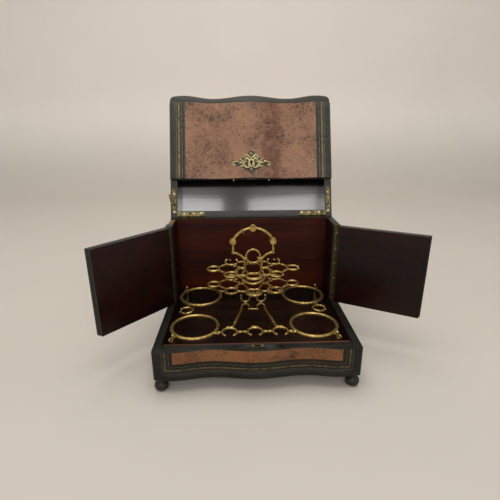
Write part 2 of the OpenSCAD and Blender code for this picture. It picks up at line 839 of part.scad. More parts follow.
function flap_knuckle_x(i) = flap_leaf_l * i / flap_knuckles;
module flap_hinge_span(a, b) {
    translate([flap_hinge_x - flap_leaf_l / 2 + a, 0, 0]) children();
}
module flap_knuckle_row(first, r, room) {
    for (i = [first : 2 : flap_knuckles - 1])
        rod_x(flap_knuckle_x(i) - room, flap_knuckle_x(i + 1) + room, flap_axis_y, flap_axis_z, r);
}
module lid_flap_leaf_plate() {
    block(0, flap_leaf_l, lid_cavity_front - leaf_t, lid_cavity_front, flap_axis_z, flap_axis_z + flap_leaf_w);
}
module lid_flap_screw_places() {
    for (x = [0.16, 0.5, 0.84]) translate([flap_leaf_l * x, lid_cavity_front, flap_axis_z + flap_leaf_w * 0.62]) rotate([-90, 0, 0]) children();
}
module flap_leaf_plate(top) {
    block(0, flap_leaf_l, flap_inner_y - leaf_t, flap_inner_y, flap_top_z - flap_leaf_w, top);
}
module flap_leaf_screw_places() {
    for (x = [0.16, 0.5, 0.84]) translate([flap_leaf_l * x, flap_inner_y, flap_top_z - flap_leaf_w * 0.5]) rotate([-90, 0, 0]) children();
}
module flap_hinge_half(first) {
    difference() {
        union() {
            if (first == 0) lid_flap_leaf_plate();
            else flap_leaf_plate(flap_axis_z + 0.3);
            flap_knuckle_row(first, knuckle_r, -knuckle_end);
        }
        flap_knuckle_row(1 - first, first == 0 ? flap_notch_r - 0.2 : knuckle_r + knuckle_room, knuckle_end);
        rod_x(-cut, flap_leaf_l + cut, flap_axis_y, flap_axis_z, hinge_pin_r + pin_clear);
        if (first == 0) lid_flap_screw_places() screw(screw_clear);
        else flap_leaf_screw_places() screw(screw_clear);
    }
}
module flap_hinge_lid_leaves() {
    color(brass) lid_place() for (s = [0, 1]) mirror([s, 0, 0]) flap_hinge_span(0, 0) flap_hinge_half(0);
}
module flap_hinge_pins() {
    color(brass) lid_place() for (s = [0, 1]) mirror([s, 0, 0]) flap_hinge_span(0, 0)
        rod_x(0, flap_leaf_l, flap_axis_y, flap_axis_z, hinge_pin_r);
}
module flap_hinge_leaves() {
    color(brass) flap_place() for (s = [0, 1]) mirror([s, 0, 0]) flap_hinge_span(0, 0) flap_hinge_half(1);
}

// Flap, drawn shut and upright

module flap_lines(over = 0) {
    for (s = [-1, 1], in_w = [[line_1, thin_w], [line_2, line_w], [line_3, thin_w]])
        front_slab(half_w, 0, -over, veneer_t, s * (half_w - in_w[0]) - in_w[1] / 2, s * (half_w - in_w[0]) + in_w[1] / 2,
            flap_bottom_z, flap_top_z);
}
module flap_panel(over = 0) {
    x = half_w - burr_in;
    front_slab(half_w, 0, -over, veneer_t, -x, x, flap_bottom_z, flap_top_z);
}
module escutcheon_prism() {
    w = escutcheon_w;
    h = escutcheon_h;
    translate([0, 0, flap_bottom_z + keyhole_up]) rotate([90, 0, 0]) linear_extrude(case_w / 2) union() {
        polygon([[-w * 0.86, -h * 0.16], [-w * 0.5, -h * 0.42], [-w * 0.16, -h * 0.72], [0, -h], [w * 0.16, -h * 0.72],
            [w * 0.5, -h * 0.42], [w * 0.86, -h * 0.16], [w * 0.5, h * 0.3], [w * 0.3, h * 0.62], [0, h], [-w * 0.3, h * 0.62],
            [-w * 0.5, h * 0.3]]);
        for (s = [-1, 1]) translate([s * w * 0.85, -h * 0.04]) circle(r = w * 0.15);
    }
}
module keyhole(y0, y1) {
    translate([0, y1, flap_bottom_z + keyhole_up]) rotate([90, 0, 0]) {
        cylinder(h = y1 - y0, r = keyhole_r);
        translate([-keyhole_r * 0.45, -keyhole_r * 2.6, 0]) cube([keyhole_r * 0.9, keyhole_r * 2.6, y1 - y0]);
    }
}
module lock_room(room) {
    block(-lock_w / 2 - room, lock_w / 2 + room, flap_inner_y - lock_t - room, flap_inner_y + (room > 0 ? cut : 0),
        flap_bottom_z + leaf_t - (room > 0 ? eps : 0), flap_bottom_z + lock_h + room);
}
module selvedge_shape(room) {
    block(-selvedge_w / 2 - room, selvedge_w / 2 + room, bolt_y - selvedge_d / 2 - room, bolt_y + selvedge_d / 2 + room,
        flap_bottom_z - (room > 0 ? cut : 0), flap_bottom_z + leaf_t);
}
module bolt_shape(room) {
    block(-bolt_w / 2 - room, bolt_w / 2 + room, bolt_y - bolt_t / 2 - room, bolt_y + bolt_t / 2 + room,
        flap_bottom_z + 0.1 - (room > 0 ? cut : 0), flap_bottom_z + bolt_l + (room > 0 ? 0.3 : 0));
}
module flap_board() {
    color(ebony) flap_place() difference() {
        translate([0, 0, flap_bottom_z]) linear_extrude(flap_top_z - flap_bottom_z) plan(flap_half_w, 0, flap_inner_y);
        for (s = [0, 1]) mirror([s, 0, 0]) {
            block(half_w - side_t / 2 - 0.3, half_w + cut, flap_inner_y - door_step, flap_inner_y + cut, base_top - cut, wall_top + cut);
            flap_hinge_span(0, 0) flap_leaf_plate(flap_top_z + cut);
            flap_hinge_span(0, 0) flap_leaf_screw_places() screw(screw_clear);
            rod_z(pin_x, bolt_y, flap_bottom_z - cut, flap_bottom_z + pin_seat, pin_r);
        }
        flap_panel(recess_over);
        flap_lines(recess_over);
        lock_room(0.1);
        selvedge_shape(0.1);
        keyhole(-case_back - cut, flap_inner_y);
    }
}
module flap_burr() {
    color(burr_colour) flap_place() difference() {
        flap_panel();
        escutcheon_prism();
    }
}
module flap_brass_lines() {
    color(brass) flap_place() flap_lines();
}
module escutcheon() {
    color(brass) flap_place() difference() {
        intersection() {
            flap_panel(escutcheon_proud);
            escutcheon_prism();
        }
        keyhole(-case_back - cut, flap_inner_y);
    }
}
module lock_case() {
    color(brass) flap_place() difference() {
        lock_room(0);
        translate([0, 0, leaf_t]) bolt_shape(0.15);
        block(-bolt_w / 2 - 0.15, bolt_w / 2 + 0.15, bolt_y - bolt_t / 2 - 0.15, bolt_y + bolt_t / 2 + 0.15,
            flap_bottom_z, flap_bottom_z + bolt_l + 0.5);
        keyhole(-case_back - cut, flap_inner_y - 2);
    }
}
module lock_selvedge() {
    color(brass) flap_place() difference() {
        selvedge_shape(0);
        block(-bolt_w / 2 - 0.15, bolt_w / 2 + 0.15, bolt_y - bolt_t / 2 - 0.15, bolt_y + bolt_t / 2 + 0.15,
            flap_bottom_z - cut, flap_bottom_z + cut);
    }
}
module lock_bolt() {
    color(brass) flap_place() bolt_shape(0);
}
module locating_pins() {
    color(brass) flap_place() for (s = [-1, 1]) union() {
        rod_z(s * pin_x, bolt_y, flap_bottom_z - pin_len + pin_r, flap_bottom_z + pin_seat, pin_r);
        translate([s * pin_x, bolt_y, flap_bottom_z - pin_len + pin_r]) sphere(r = pin_r);
    }
}
module flap_screws() {
    color(brass) flap_place() for (s = [0, 1]) mirror([s, 0, 0]) flap_hinge_span(0, 0) flap_leaf_screw_places() screw();
}

// Rack, drawn round its own middle line

function ring_place(sx, sy) = [sx * ring_x, sy * ring_y, ring_z];
module ring(sx, sy) {
    b = 1.4;
    color(gilt) rack_place() translate(ring_place(sx, sy) - [0, 0, ring_h / 2]) rotate_extrude($fn = 96)
        polygon([[ring_r, b / 2], [ring_r + b / 2, 0], [ring_out - b, 0], [ring_out, b], [ring_out, ring_h - b],
            [ring_out - b, ring_h], [ring_r + b / 2, ring_h], [ring_r, ring_h - b / 2]]);
}
module left_front_ring() {
    ring(-1, -1);
}
module right_front_ring() {
    ring(1, -1);
}
module left_back_ring() {
    ring(-1, 1);
}
module right_back_ring() {
    ring(1, 1);
}
module ring_bodies() {
    for (sx = [-1, 1], sy = [-1, 1]) translate(ring_place(sx, sy) - [0, 0, cut / 2]) cylinder(h = cut, r = ring_out + 0.02, $fn = 96);
}

// Horseshoe that opens towards an angle, with ball tips
module horseshoe(p, radius, open_at, gap, r) {
    arc(p, radius, open_at + gap / 2, 360 - gap, r);
    for (a = [open_at - gap / 2, open_at + gap / 2]) ball(p + radius * [cos(a), sin(a), 0], r * 1.35);
}

// Three horseshoes in a row between two decanter rings, with the links that join them
module chain(sy) {
    y = sy * chain_y;
    for (i = [-1 : 1]) horseshoe([i * chain_step, y, ring_z], chain_r, sy * 90, 110, tier_rod_r);
    for (s = [-1, 1]) {
        rod([s * chain_r, y, ring_z], [s * (chain_step - chain_r), y, ring_z], tier_rod_r + 0.3);
        rod([s * (chain_step + chain_r), y, ring_z], [s * ring_x, sy * (ring_y + 12), ring_z], tier_rod_r + 0.3);
    }
}

// Open ring that joins the front and back decanter rings at one side
module side_scroll(s) {
    p = [s * side_scroll_x, 0, ring_z];
    horseshoe(p, side_scroll_r, s > 0 ? 0 : 180, 60, tier_rod_r);
    for (sy = [-1, 1]) rod(p + [0, sy * side_scroll_r, 0], p + [-s * 4, sy * (side_scroll_r + 20), 0], tier_rod_r + 0.3);
}
module ring_scrolls() {
    color(gilt) rack_place() difference() {
        union() {
            for (sy = [-1, 1]) chain(sy);
            for (s = [-1, 1]) side_scroll(s);
        }
        ring_bodies();
    }
}

// Four legs outside the rings' corners, with a ball on top and a scroll at the foot
module rack_legs() {
    color(gilt) rack_place() difference() {
        for (sx = [-1, 1], sy = [-1, 1]) {
            p = [sx * (ring_x + leg_out_x), sy * (ring_y + leg_out_y), 0];
            turn = atan2(sy, sx);
            union() {
                rod_z(p[0], p[1], floor_z + 1, ring_z + 3, leg_r);
                rod_z(p[0], p[1], floor_z, floor_z + 2, leg_r + 1.4);
                ball([p[0], p[1], ring_z + 3.6], leg_r + 0.7);
                rod([p[0], p[1], ring_z], [sx * ring_x, sy * ring_y, ring_z], tier_rod_r);
                translate([p[0], p[1], floor_z + 9]) rotate([0, 0, turn]) arc_up([4.6, 0, 0], 4.4, -60, 240, 1.5);
            }
        }
        ring_bodies();
    }
}

// Places of the glass rings in a tier, with the radius and which way they open, if at all
function end_place(s) = [s * tier_end_x, 0, 0];
function front_place(sx, sy) = [sx * tier_front_x, sy * tier_front_y, 0];
function crown_place(sy) = [0, sy * tier_crown_y, 0];
function to_edge(p, q, r) = p + (q - p) / norm(q - p) * r;
module link(p, rp, q, rq, r) {
    rod(to_edge(p, q, rp), to_edge(q, p, rq), r);
}
module glass_tier(z, back_open, right_open_ring) {
    r = tier_rod_r;
    difference() {
        translate([0, 0, z]) union() {
            for (s = [-1, 1]) {
                if (right_open_ring && s > 0) horseshoe(end_place(s), glass_r, 0, 50, r);
                else arc(end_place(s), glass_r, 0, 360, r);
                arc(front_place(s, -1), glass_r + 0.6, 0, 360, r);
                if (back_open) horseshoe(front_place(s, 1), glass_r + 0.6, 90, 110, r);
                else arc(front_place(s, 1), glass_r + 0.6, 0, 360, r);
                for (sy = [-1, 1]) {
                    link(end_place(s), glass_r, front_place(s, sy), glass_r + 0.6, r + 0.3);
                    link(front_place(s, sy), glass_r + 0.6, crown_place(sy), crown_r, r + 0.3);
                    rod([s * (column_x + 1), 0, 0], crown_place(sy) + crown_r * [s * sin(35), -sy * cos(35), 0], r);
                }
            }
            arc(crown_place(-1), crown_r, 0, 360, r + 0.2);
            if (back_open) horseshoe(crown_place(1), crown_r, 90, 110, r + 0.2);
            else arc(crown_place(1), crown_r, 0, 360, r + 0.2);
        }
        handle_body(solder_gap);
    }
}
module lower_glass_tier() {
    color(gilt) rack_place() glass_tier(lower_z, false, false);
}
module upper_glass_tier() {
    color(gilt) rack_place() glass_tier(upper_z, true, true);
}

// Handle and column in one flat casting, from the grip down to the scrolled foot
module handle_half(s, room) {
    r = rod_r + room;
    hip = [s * handle_x, 0, ring_z + hip_up];
    elbow = [s * handle_x, 0, ring_z + elbow_up];
    shoulder = [s * (handle_x - elbow_run), 0, ring_z + elbow_up];
    elbow_r = handle_x - elbow_run - column_x;
    waist = [s * column_x, 0, shoulder[2] - elbow_r];
    bend = [s * column_x, 0, upper_z];
    flare = [s * flare_x, 0, ring_z + flare_up];
    foot = [s * neck_x, 0, ring_z + neck_up];
    hook_start = [s * (hook_x - hook_r), 0, ring_z + hook_up];
    curl_mid = [s * hook_x, 0, ring_z + curl_up];
    rod(hip, elbow, r);
    ball(elbow, r + 0.5);
    rod(elbow, shoulder, r);
    arc_up([shoulder[0], 0, waist[2]], elbow_r, s > 0 ? 90 : 0, 90, r);
    ball(waist, r + 0.4);
    rod(waist, bend, r);
    ball(bend, r + 0.5);
    rod(bend, flare, r);
    ball(flare, r + 0.9);
    rod(flare, foot, r);
    ball(foot, r + 0.3);
    rod(foot, hook_start, r - 0.3);
    ball(hook_start, r + 0.2);
    arc_up([s * hook_x, 0, ring_z + hook_up], hook_r, 180, 180, r - 0.3);
    ball([s * (hook_x + hook_r), 0, ring_z + hook_up], r + 0.6);
    ball([s * hook_x, 0, ring_z + (hook_up - hook_r + curl_up + curl_r) / 2], r + 0.9);
    arc_up(curl_mid, curl_r, s > 0 ? -20 : -30, 230, r - 0.3);
    ball(curl_mid + curl_r * [-s * cos(30), 0, -sin(30)], r + 0.7);
    ball(curl_mid + curl_r * [s * cos(20), 0, -sin(20)], r + 0.4);
    ball([s * (eye_r + 1.8), 0, ring_z + eye_up - 4.5], r + 0.9);
}
module handle_body(room) {
    r = rod_r + room;
    rise = handle_up - hip_up;
    top_r = (handle_x * handle_x + rise * rise) / (2 * rise);
    top_angle = asin(handle_x / top_r);
    bowl_drop = flare_up - bowl_up;
    bowl_r = (flare_x * flare_x + bowl_drop * bowl_drop) / (2 * bowl_drop);
    bowl_angle = asin(flare_x / bowl_r);
    bar_x = hook_x - curl_r * cos(30);
    bar_z = ring_z + curl_up - curl_r * sin(30);
    for (s = [-1, 1]) handle_half(s, room);
    arc_up([0, 0, handle_z - top_r], top_r, 90 - top_angle, 2 * top_angle, r);
    arc_up([0, 0, ring_z + bowl_up + bowl_r], bowl_r, 270 - bowl_angle, 2 * bowl_angle, r + 0.3);
    arc_up([0, 0, ring_z + eye_up], eye_r, 0, 360, r - 0.3);
    rod([-bar_x, 0, bar_z], [bar_x, 0, bar_z], r - 0.5);
    rosette_places() rosette_disc(-boss_t / 2, boss_t, rosette_r - 0.9);
}
module rosette_places() {
    for (p = [[0, handle_z], [-handle_x, ring_z + hip_up], [handle_x, ring_z + hip_up]]) translate([p[0], 0, p[1]]) children();
}
module rosette_disc(y0, t, r) {
    translate([0, y0, 0]) rotate([-90, 0, 0]) cylinder(h = t, r = r);
}

// Braces run forward from the foot to the front horseshoes, struts back to the middle one
module braces(s) {
    curl_end = [s * (hook_x + curl_r * cos(20)), 0, ring_z + curl_up - curl_r * sin(20)];
    brace_end = [s * (chain_step - brace_in), -chain_y + chain_r + tier_rod_r + 0.4, ring_z];
    strut_end = [s * strut_x, chain_y - chain_r - tier_rod_r - 0.4, ring_z];
    rod(curl_end, brace_end, rod_r - 0.3);
    ball(curl_end + (brace_end - curl_end) * 0.78, rod_r + 0.6);
    rod([s * (hook_x - hook_r), 0, ring_z + hook_up], strut_end, rod_r - 0.4);
}
module rack_handle() {
    color(gilt) rack_place() union() {
        handle_body(0);
        for (s = [-1, 1]) braces(s);
    }
}
module handle_rosettes() {
    color(gilt) rack_place() for (y = [-boss_t / 2 - rosette_t, boss_t / 2]) rosette_places() rosette_disc(y, rosette_t, rosette_r);
}

base_frame();
bottom_board();
floor_board();
feet();
base_burr();
base_brass_lines();
strike_plate();
back_panel();
left_fixed_side();
right_fixed_side();
left_door_hinge_case_leaf();
right_door_hinge_case_leaf();
left_door_hinge_pin();
right_door_hinge_pin();
left_lid_hinge_case_leaf();
right_lid_hinge_case_leaf();
lid_hinge_pins();
case_screws();
left_door();
left_door_burr();
left_door_brass_line();
left_door_hinge_leaf();
left_door_screws();
right_door();
right_door_burr();
right_door_brass_line();
right_door_hinge_leaf();
right_door_screws();
lid_frame();
lid_top_board();
lid_top_burr();
lid_top_brass_lines();
lid_front_burr();
lid_front_brass_lines();
left_lid_corner_plate();
right_lid_corner_plate();
lid_screws();
flap_hinge_lid_leaves();
flap_hinge_pins();
flap_board();
flap_burr();
flap_brass_lines();
escutcheon();
lock_case();
lock_selvedge();
locating_pins();
flap_hinge_leaves();
flap_screws();
lock_bolt();
left_stop_link();
left_front_ring();
right_front_ring();
left_back_ring();
right_back_ring();
ring_scrolls();
rack_legs();
lower_glass_tier();
upper_glass_tier();
rack_handle();
handle_rosettes();
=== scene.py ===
from math import asin, cos, degrees, pi, radians, sin
import bmesh
import bpy
from mathutils import Matrix, Vector


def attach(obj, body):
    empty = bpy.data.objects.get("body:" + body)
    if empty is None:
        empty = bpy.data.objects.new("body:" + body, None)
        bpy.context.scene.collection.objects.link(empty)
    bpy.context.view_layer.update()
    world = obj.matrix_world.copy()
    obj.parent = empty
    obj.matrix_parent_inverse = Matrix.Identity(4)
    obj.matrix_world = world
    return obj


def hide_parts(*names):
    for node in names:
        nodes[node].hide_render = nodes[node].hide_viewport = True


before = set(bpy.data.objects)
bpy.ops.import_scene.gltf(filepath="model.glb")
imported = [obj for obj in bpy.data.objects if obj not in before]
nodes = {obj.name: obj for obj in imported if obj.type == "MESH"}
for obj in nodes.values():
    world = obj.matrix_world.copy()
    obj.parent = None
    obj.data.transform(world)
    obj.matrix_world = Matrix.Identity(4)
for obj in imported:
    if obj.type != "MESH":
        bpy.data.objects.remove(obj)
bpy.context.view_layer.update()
print("frame loaded:", len(nodes), "nodes")

# Shapes below are in millimetres and in the shut position. A place turns each to where it stands at rest
mm = 0.001
lidOpen = 110.6
lidAxis = Vector((0, 123.2, 231.1))
flapAxis = Vector((0, -105.5, 229.8))
doorAxis = Vector((165.2, 50, 0))
doorOpen = {"left": 41.2, "right": 61.4}
rackMiddle = Vector((-2.4, 1, 0))
upward = Vector((0, 0, 1))


def turnAbout(point, angle, axis):
    return Matrix.Translation(point) @ Matrix.Rotation(radians(angle), 4, axis) @ Matrix.Translation(-point)


still = Matrix.Identity(4)
lidPlace = turnAbout(lidAxis, -lidOpen, "X")
flapPlace = lidPlace @ turnAbout(flapAxis, 90, "X")
rackPlace = Matrix.Translation(rackMiddle)
doorPlace = {"left": Matrix.Scale(-1, 4, (1, 0, 0)) @ turnAbout(doorAxis, doorOpen["left"], "Z"),
    "right": turnAbout(doorAxis, doorOpen["right"], "Z")}


def addObject(name, data):
    made = bpy.data.objects.new(name, data)
    bpy.context.scene.collection.objects.link(made)
    return made


# Camera, at the photograph's angle
view = {"place": (-0.0285, -0.6413, 0.4173), "yaw": 1.838, "pitch": -18.87, "roll": -0.241, "lens": 27.46}


def addCamera():
    yaw, pitch, roll = (radians(view[key]) for key in ("yaw", "pitch", "roll"))
    ahead = Vector((sin(yaw) * cos(pitch), cos(yaw) * cos(pitch), sin(pitch)))
    right = Vector((cos(yaw), -sin(yaw), 0))
    up = right.cross(ahead)
    across = right * cos(roll) + up * sin(roll)
    upright = up * cos(roll) - right * sin(roll)
    camera = addObject("camera", bpy.data.cameras.new("camera"))
    camera.data.lens = view["lens"]
    camera.data.clip_start = 0.02
    place = Matrix((across, upright, -ahead)).transposed().to_4x4()
    place.translation = view["place"]
    camera.matrix_world = place
    bpy.context.scene.camera = camera


addCamera()


# Colours are written as a screen has them, 0 to 255, and sockets take them as light
def asLight(tone):
    parts = [value / 255 for value in tone]
    return (*(part / 12.92 if part <= 0.04045 else ((part + 0.055) / 1.055) ** 2.4 for part in parts), 1)


# Shader maths: a wire is an output socket, and sums on wires add Math nodes
class Wire:
    def __init__(self, tree, socket=None):
        self.tree = tree
        self.socket = socket

    def add(self, kind, settings=None, values=None, out=0):
        node = self.tree.nodes.new(kind)
        for key, value in (settings or {}).items():
            setattr(node, key, value)
        for key, value in (values or {}).items():
            if isinstance(value, Wire):
                self.tree.links.new(value.socket, node.inputs[key])
            else:
                node.inputs[key].default_value = value
        return Wire(self.tree, node.outputs[out] if len(node.outputs) else None)

    def maths(self, operation, first, second):
        return self.add("ShaderNodeMath", {"operation": operation}, {0: first, 1: second})

    def __add__(self, other):
        return self.maths("ADD", self, other)

    def __rsub__(self, other):
        return self.maths("SUBTRACT", other, self)

    def __mul__(self, other):
        return self.maths("MULTIPLY", self, other)

    __radd__ = __add__
    __rmul__ = __mul__

    def ramp(self, low, high, start=0, end=1):
        return self.add("ShaderNodeMapRange", {"interpolation_type": "SMOOTHSTEP"},
            {0: self, 1: low, 2: high, 3: start, 4: end})

    def mix(self, first, second):
        first, second = (tone if isinstance(tone, Wire) else asLight(tone) for tone in (first, second))
        return self.add("ShaderNodeMix", {"data_type": "RGBA"}, {0: self, 6: first, 7: second}, 2)


class Finish:
    def __init__(self, name):
        self.material = bpy.data.materials.new(name)
        self.material.use_nodes = True
        tree = self.material.node_tree
        tree.nodes.clear()
        self.start = Wire(tree)
        self.place = self.start.add("ShaderNodeTexCoord", out=3)

    def turned(self, turn, scale=(1, 1, 1), shift=(0, 0, 0)):
        values = {"Vector": self.place, "Rotation": turn, "Scale": scale, "Location": shift}
        return self.start.add("ShaderNodeMapping", {}, values)

    def axis(self, where, out):
        return self.start.add("ShaderNodeSeparateXYZ", {}, {0: where}, out)

    def vector(self, operation, values, out=0):
        return self.start.add("ShaderNodeVectorMath", {"operation": operation}, values, out)

    def noise(self, scale, where=None, detail=4, rough=0.55, bend=0.0, out=0):
        values = {"Vector": where or self.place, "Scale": scale, "Detail": detail, "Roughness": rough,
            "Distortion": bend}
        return self.start.add("ShaderNodeTexNoise", {}, values, out)

    def cells(self, scale, where, feature="F1"):
        return self.start.add("ShaderNodeTexVoronoi", {"feature": feature}, {"Vector": where, "Scale": scale})

    def warped(self, where, scale, amount):
        swirl = self.noise(scale, where, 2, out=1)
        centred = self.vector("SUBTRACT", {0: swirl, 1: (0.5, 0.5, 0.5)})
        return self.vector("ADD", {0: where, 1: self.vector("SCALE", {0: centred, 3: amount})})

    def bump(self, height, distance, strength):
        values = {"Height": height, "Distance": distance, "Strength": strength}
        return self.start.add("ShaderNodeBump", {}, values)

    def shade(self, **sockets):
        values = {key.replace("_", " "): value for key, value in sockets.items()}
        shader = self.start.add("ShaderNodeBsdfPrincipled", {}, values)
        self.start.add("ShaderNodeOutputMaterial", {}, {0: shader})
        return self.material


# Burr: pale curls over a blotched ground with dark eyes, and a darker streak where one is given
def burrFinish(name, turn, tones, streak=None, seed=0.0, coat=0.8):
    light, middle, dark = tones
    finish = Finish(name)
    where = finish.turned(turn, shift=(seed, seed, 0))
    flow = finish.warped(where, 22, 0.034)
    curl = finish.warped(flow, 120, 0.012)
    cloud = finish.noise(15, flow, 4, 0.6)
    blotch = finish.noise(42, flow, 3, 0.55, 0.5)
    fleck = finish.noise(300, curl, 4, 0.65, 0.6)
    veins = 1 - finish.cells(105, curl, "DISTANCE_TO_EDGE").ramp(0.02, 0.2)
    hairs = 1 - finish.cells(210, curl, "DISTANCE_TO_EDGE").ramp(0.03, 0.28)
    eyes = 1 - finish.cells(125, curl).ramp(0.1, 0.3)
    base = (cloud.ramp(0.36, 0.66) * 0.55 + fleck.ramp(0.3, 0.7) * 0.25).mix(middle, light)
    base = (blotch.ramp(0.52, 0.66) * 0.6).mix(base, dark)
    base = (veins * blotch.ramp(0.25, 0.5, 1, 0.6) * 0.75).mix(base, light)
    base = (hairs * cloud.ramp(0.35, 0.6) * 0.6).mix(base, light)
    base = (eyes * fleck.ramp(0.38, 0.52) * 0.85).mix(base, dark)
    if streak:
        side, up = finish.axis(flow, 0), finish.axis(where, 2)
        past = side.ramp(streak["to"] - 0.006, streak["to"] + 0.008)
        band = side.ramp(streak["from"] - 0.006, streak["from"] + 0.004) * (1 - past)
        band = band * up.ramp(streak["low"], streak["high"], 0.25, 1)
        base = (band * finish.noise(48, curl, 4).ramp(0.3, 0.62) * 0.85).mix(base, streak["tint"])
        base = (band * finish.noise(75, flow, 4).ramp(0.54, 0.66) * 0.7).mix(base, streak["core"])
    lift = finish.bump(finish.noise(85, flow, 3) + veins * 0.15 + fleck * 0.1, 0.0003, 0.5)
    return finish.shade(Base_Color=base, Roughness=0.4 + fleck * 0.16, Normal=lift, Coat_Weight=coat,
        Coat_Roughness=0.12, Specular_IOR_Level=0.35)


def ebonyFinish(name, turn, shade, worn, rough=0.36, gloss=0.4):
    finish = Finish(name)
    grain = finish.noise(240, finish.turned(turn, (0.12, 1, 1)), 5, 0.6)
    cloud = finish.noise(18, None, 4)
    wear = finish.noise(55, None, 6, 0.7).ramp(0.5, 0.75)
    base = (grain * 0.5 + cloud * 0.5).ramp(0.3, 0.7).mix(shade, worn)
    lift = finish.bump(grain + finish.noise(700, None, 2) * 0.4, 0.00012, 0.6)
    return finish.shade(Base_Color=base, Roughness=rough + cloud * 0.14 + wear * 0.08, Normal=lift,
        Specular_IOR_Level=gloss)


# Brushed lacquer that mirrors the room in streaks
def lacquerFinish(name, turn, shade, worn):
    finish = Finish(name)
    brushed = finish.noise(210, finish.turned(turn, (0.03, 1, 1)), 4, 0.6)
    cloud = finish.noise(30, finish.turned(turn, (0.3, 1, 1)), 4)
    specks = finish.noise(420, None, 2).ramp(0.66, 0.72)
    base = (brushed * 0.6 + cloud * 0.4).ramp(0.35, 0.65).mix(shade, worn)
    base = (specks * 0.6).mix(base, shade)
    lift = finish.bump(brushed + specks * 0.3, 0.0001, 0.6)
    return finish.shade(Base_Color=base, Roughness=0.1 + brushed * 0.08, Normal=lift, Coat_Weight=1.0,
        Coat_Roughness=0.07, Specular_IOR_Level=0.6)


def mahoganyFinish(name, turn, light, dark, rough=0.3, coat=0.0, gloss=0.15, scuffs=None):
    finish = Finish(name)
    where = finish.warped(finish.turned(turn, (0.1, 1, 1)), 9, 0.02)
    grain = finish.noise(110, where, 6, 0.65)
    broad = finish.noise(15, where, 3, 0.5, 0.8)
    glow = finish.noise(7, None, 2, 0.5)
    pores = finish.noise(900, finish.turned(turn, (0.05, 1, 1)), 2)
    figure = broad.ramp(0.3, 0.72) * 0.6 + grain.ramp(0.35, 0.7) * 0.3 + glow.ramp(0.45, 0.7) * 0.3
    base = (pores.ramp(0.62, 0.8) * 0.4).mix(figure.mix(dark, light), dark)
    if scuffs:
        away = finish.vector("DISTANCE", {0: finish.place, 1: scuffs["at"]}, 1)
        spots = (1 - away.ramp(0.001, scuffs["reach"])) * finish.noise(190, None, 3).ramp(0.46, 0.6)
        base = (spots * 0.5).mix(base, scuffs["tint"])
    lift = finish.bump(grain * 0.6 + pores * 0.4, 0.0001, 0.5)
    return finish.shade(Base_Color=base, Roughness=rough + broad * 0.1, Normal=lift, Coat_Weight=coat,
        Coat_Roughness=0.25, Specular_IOR_Level=gloss)


def metalFinish(name, bright, dull, rough, tarnish, lump=0.0001):
    finish = Finish(name)
    fine = finish.noise(1100, None, 3)
    age = finish.noise(160, None, 5, 0.6).ramp(0.36, 0.66)
    base = (age * tarnish).mix(bright, dull)
    lift = finish.bump(finish.noise(420, None, 3) + fine * 0.3, lump, 0.7)
    return finish.shade(Base_Color=base, Metallic=1 - age * 0.25 * tarnish,
        Roughness=rough + age * 0.16 + fine * 0.05, Normal=lift)


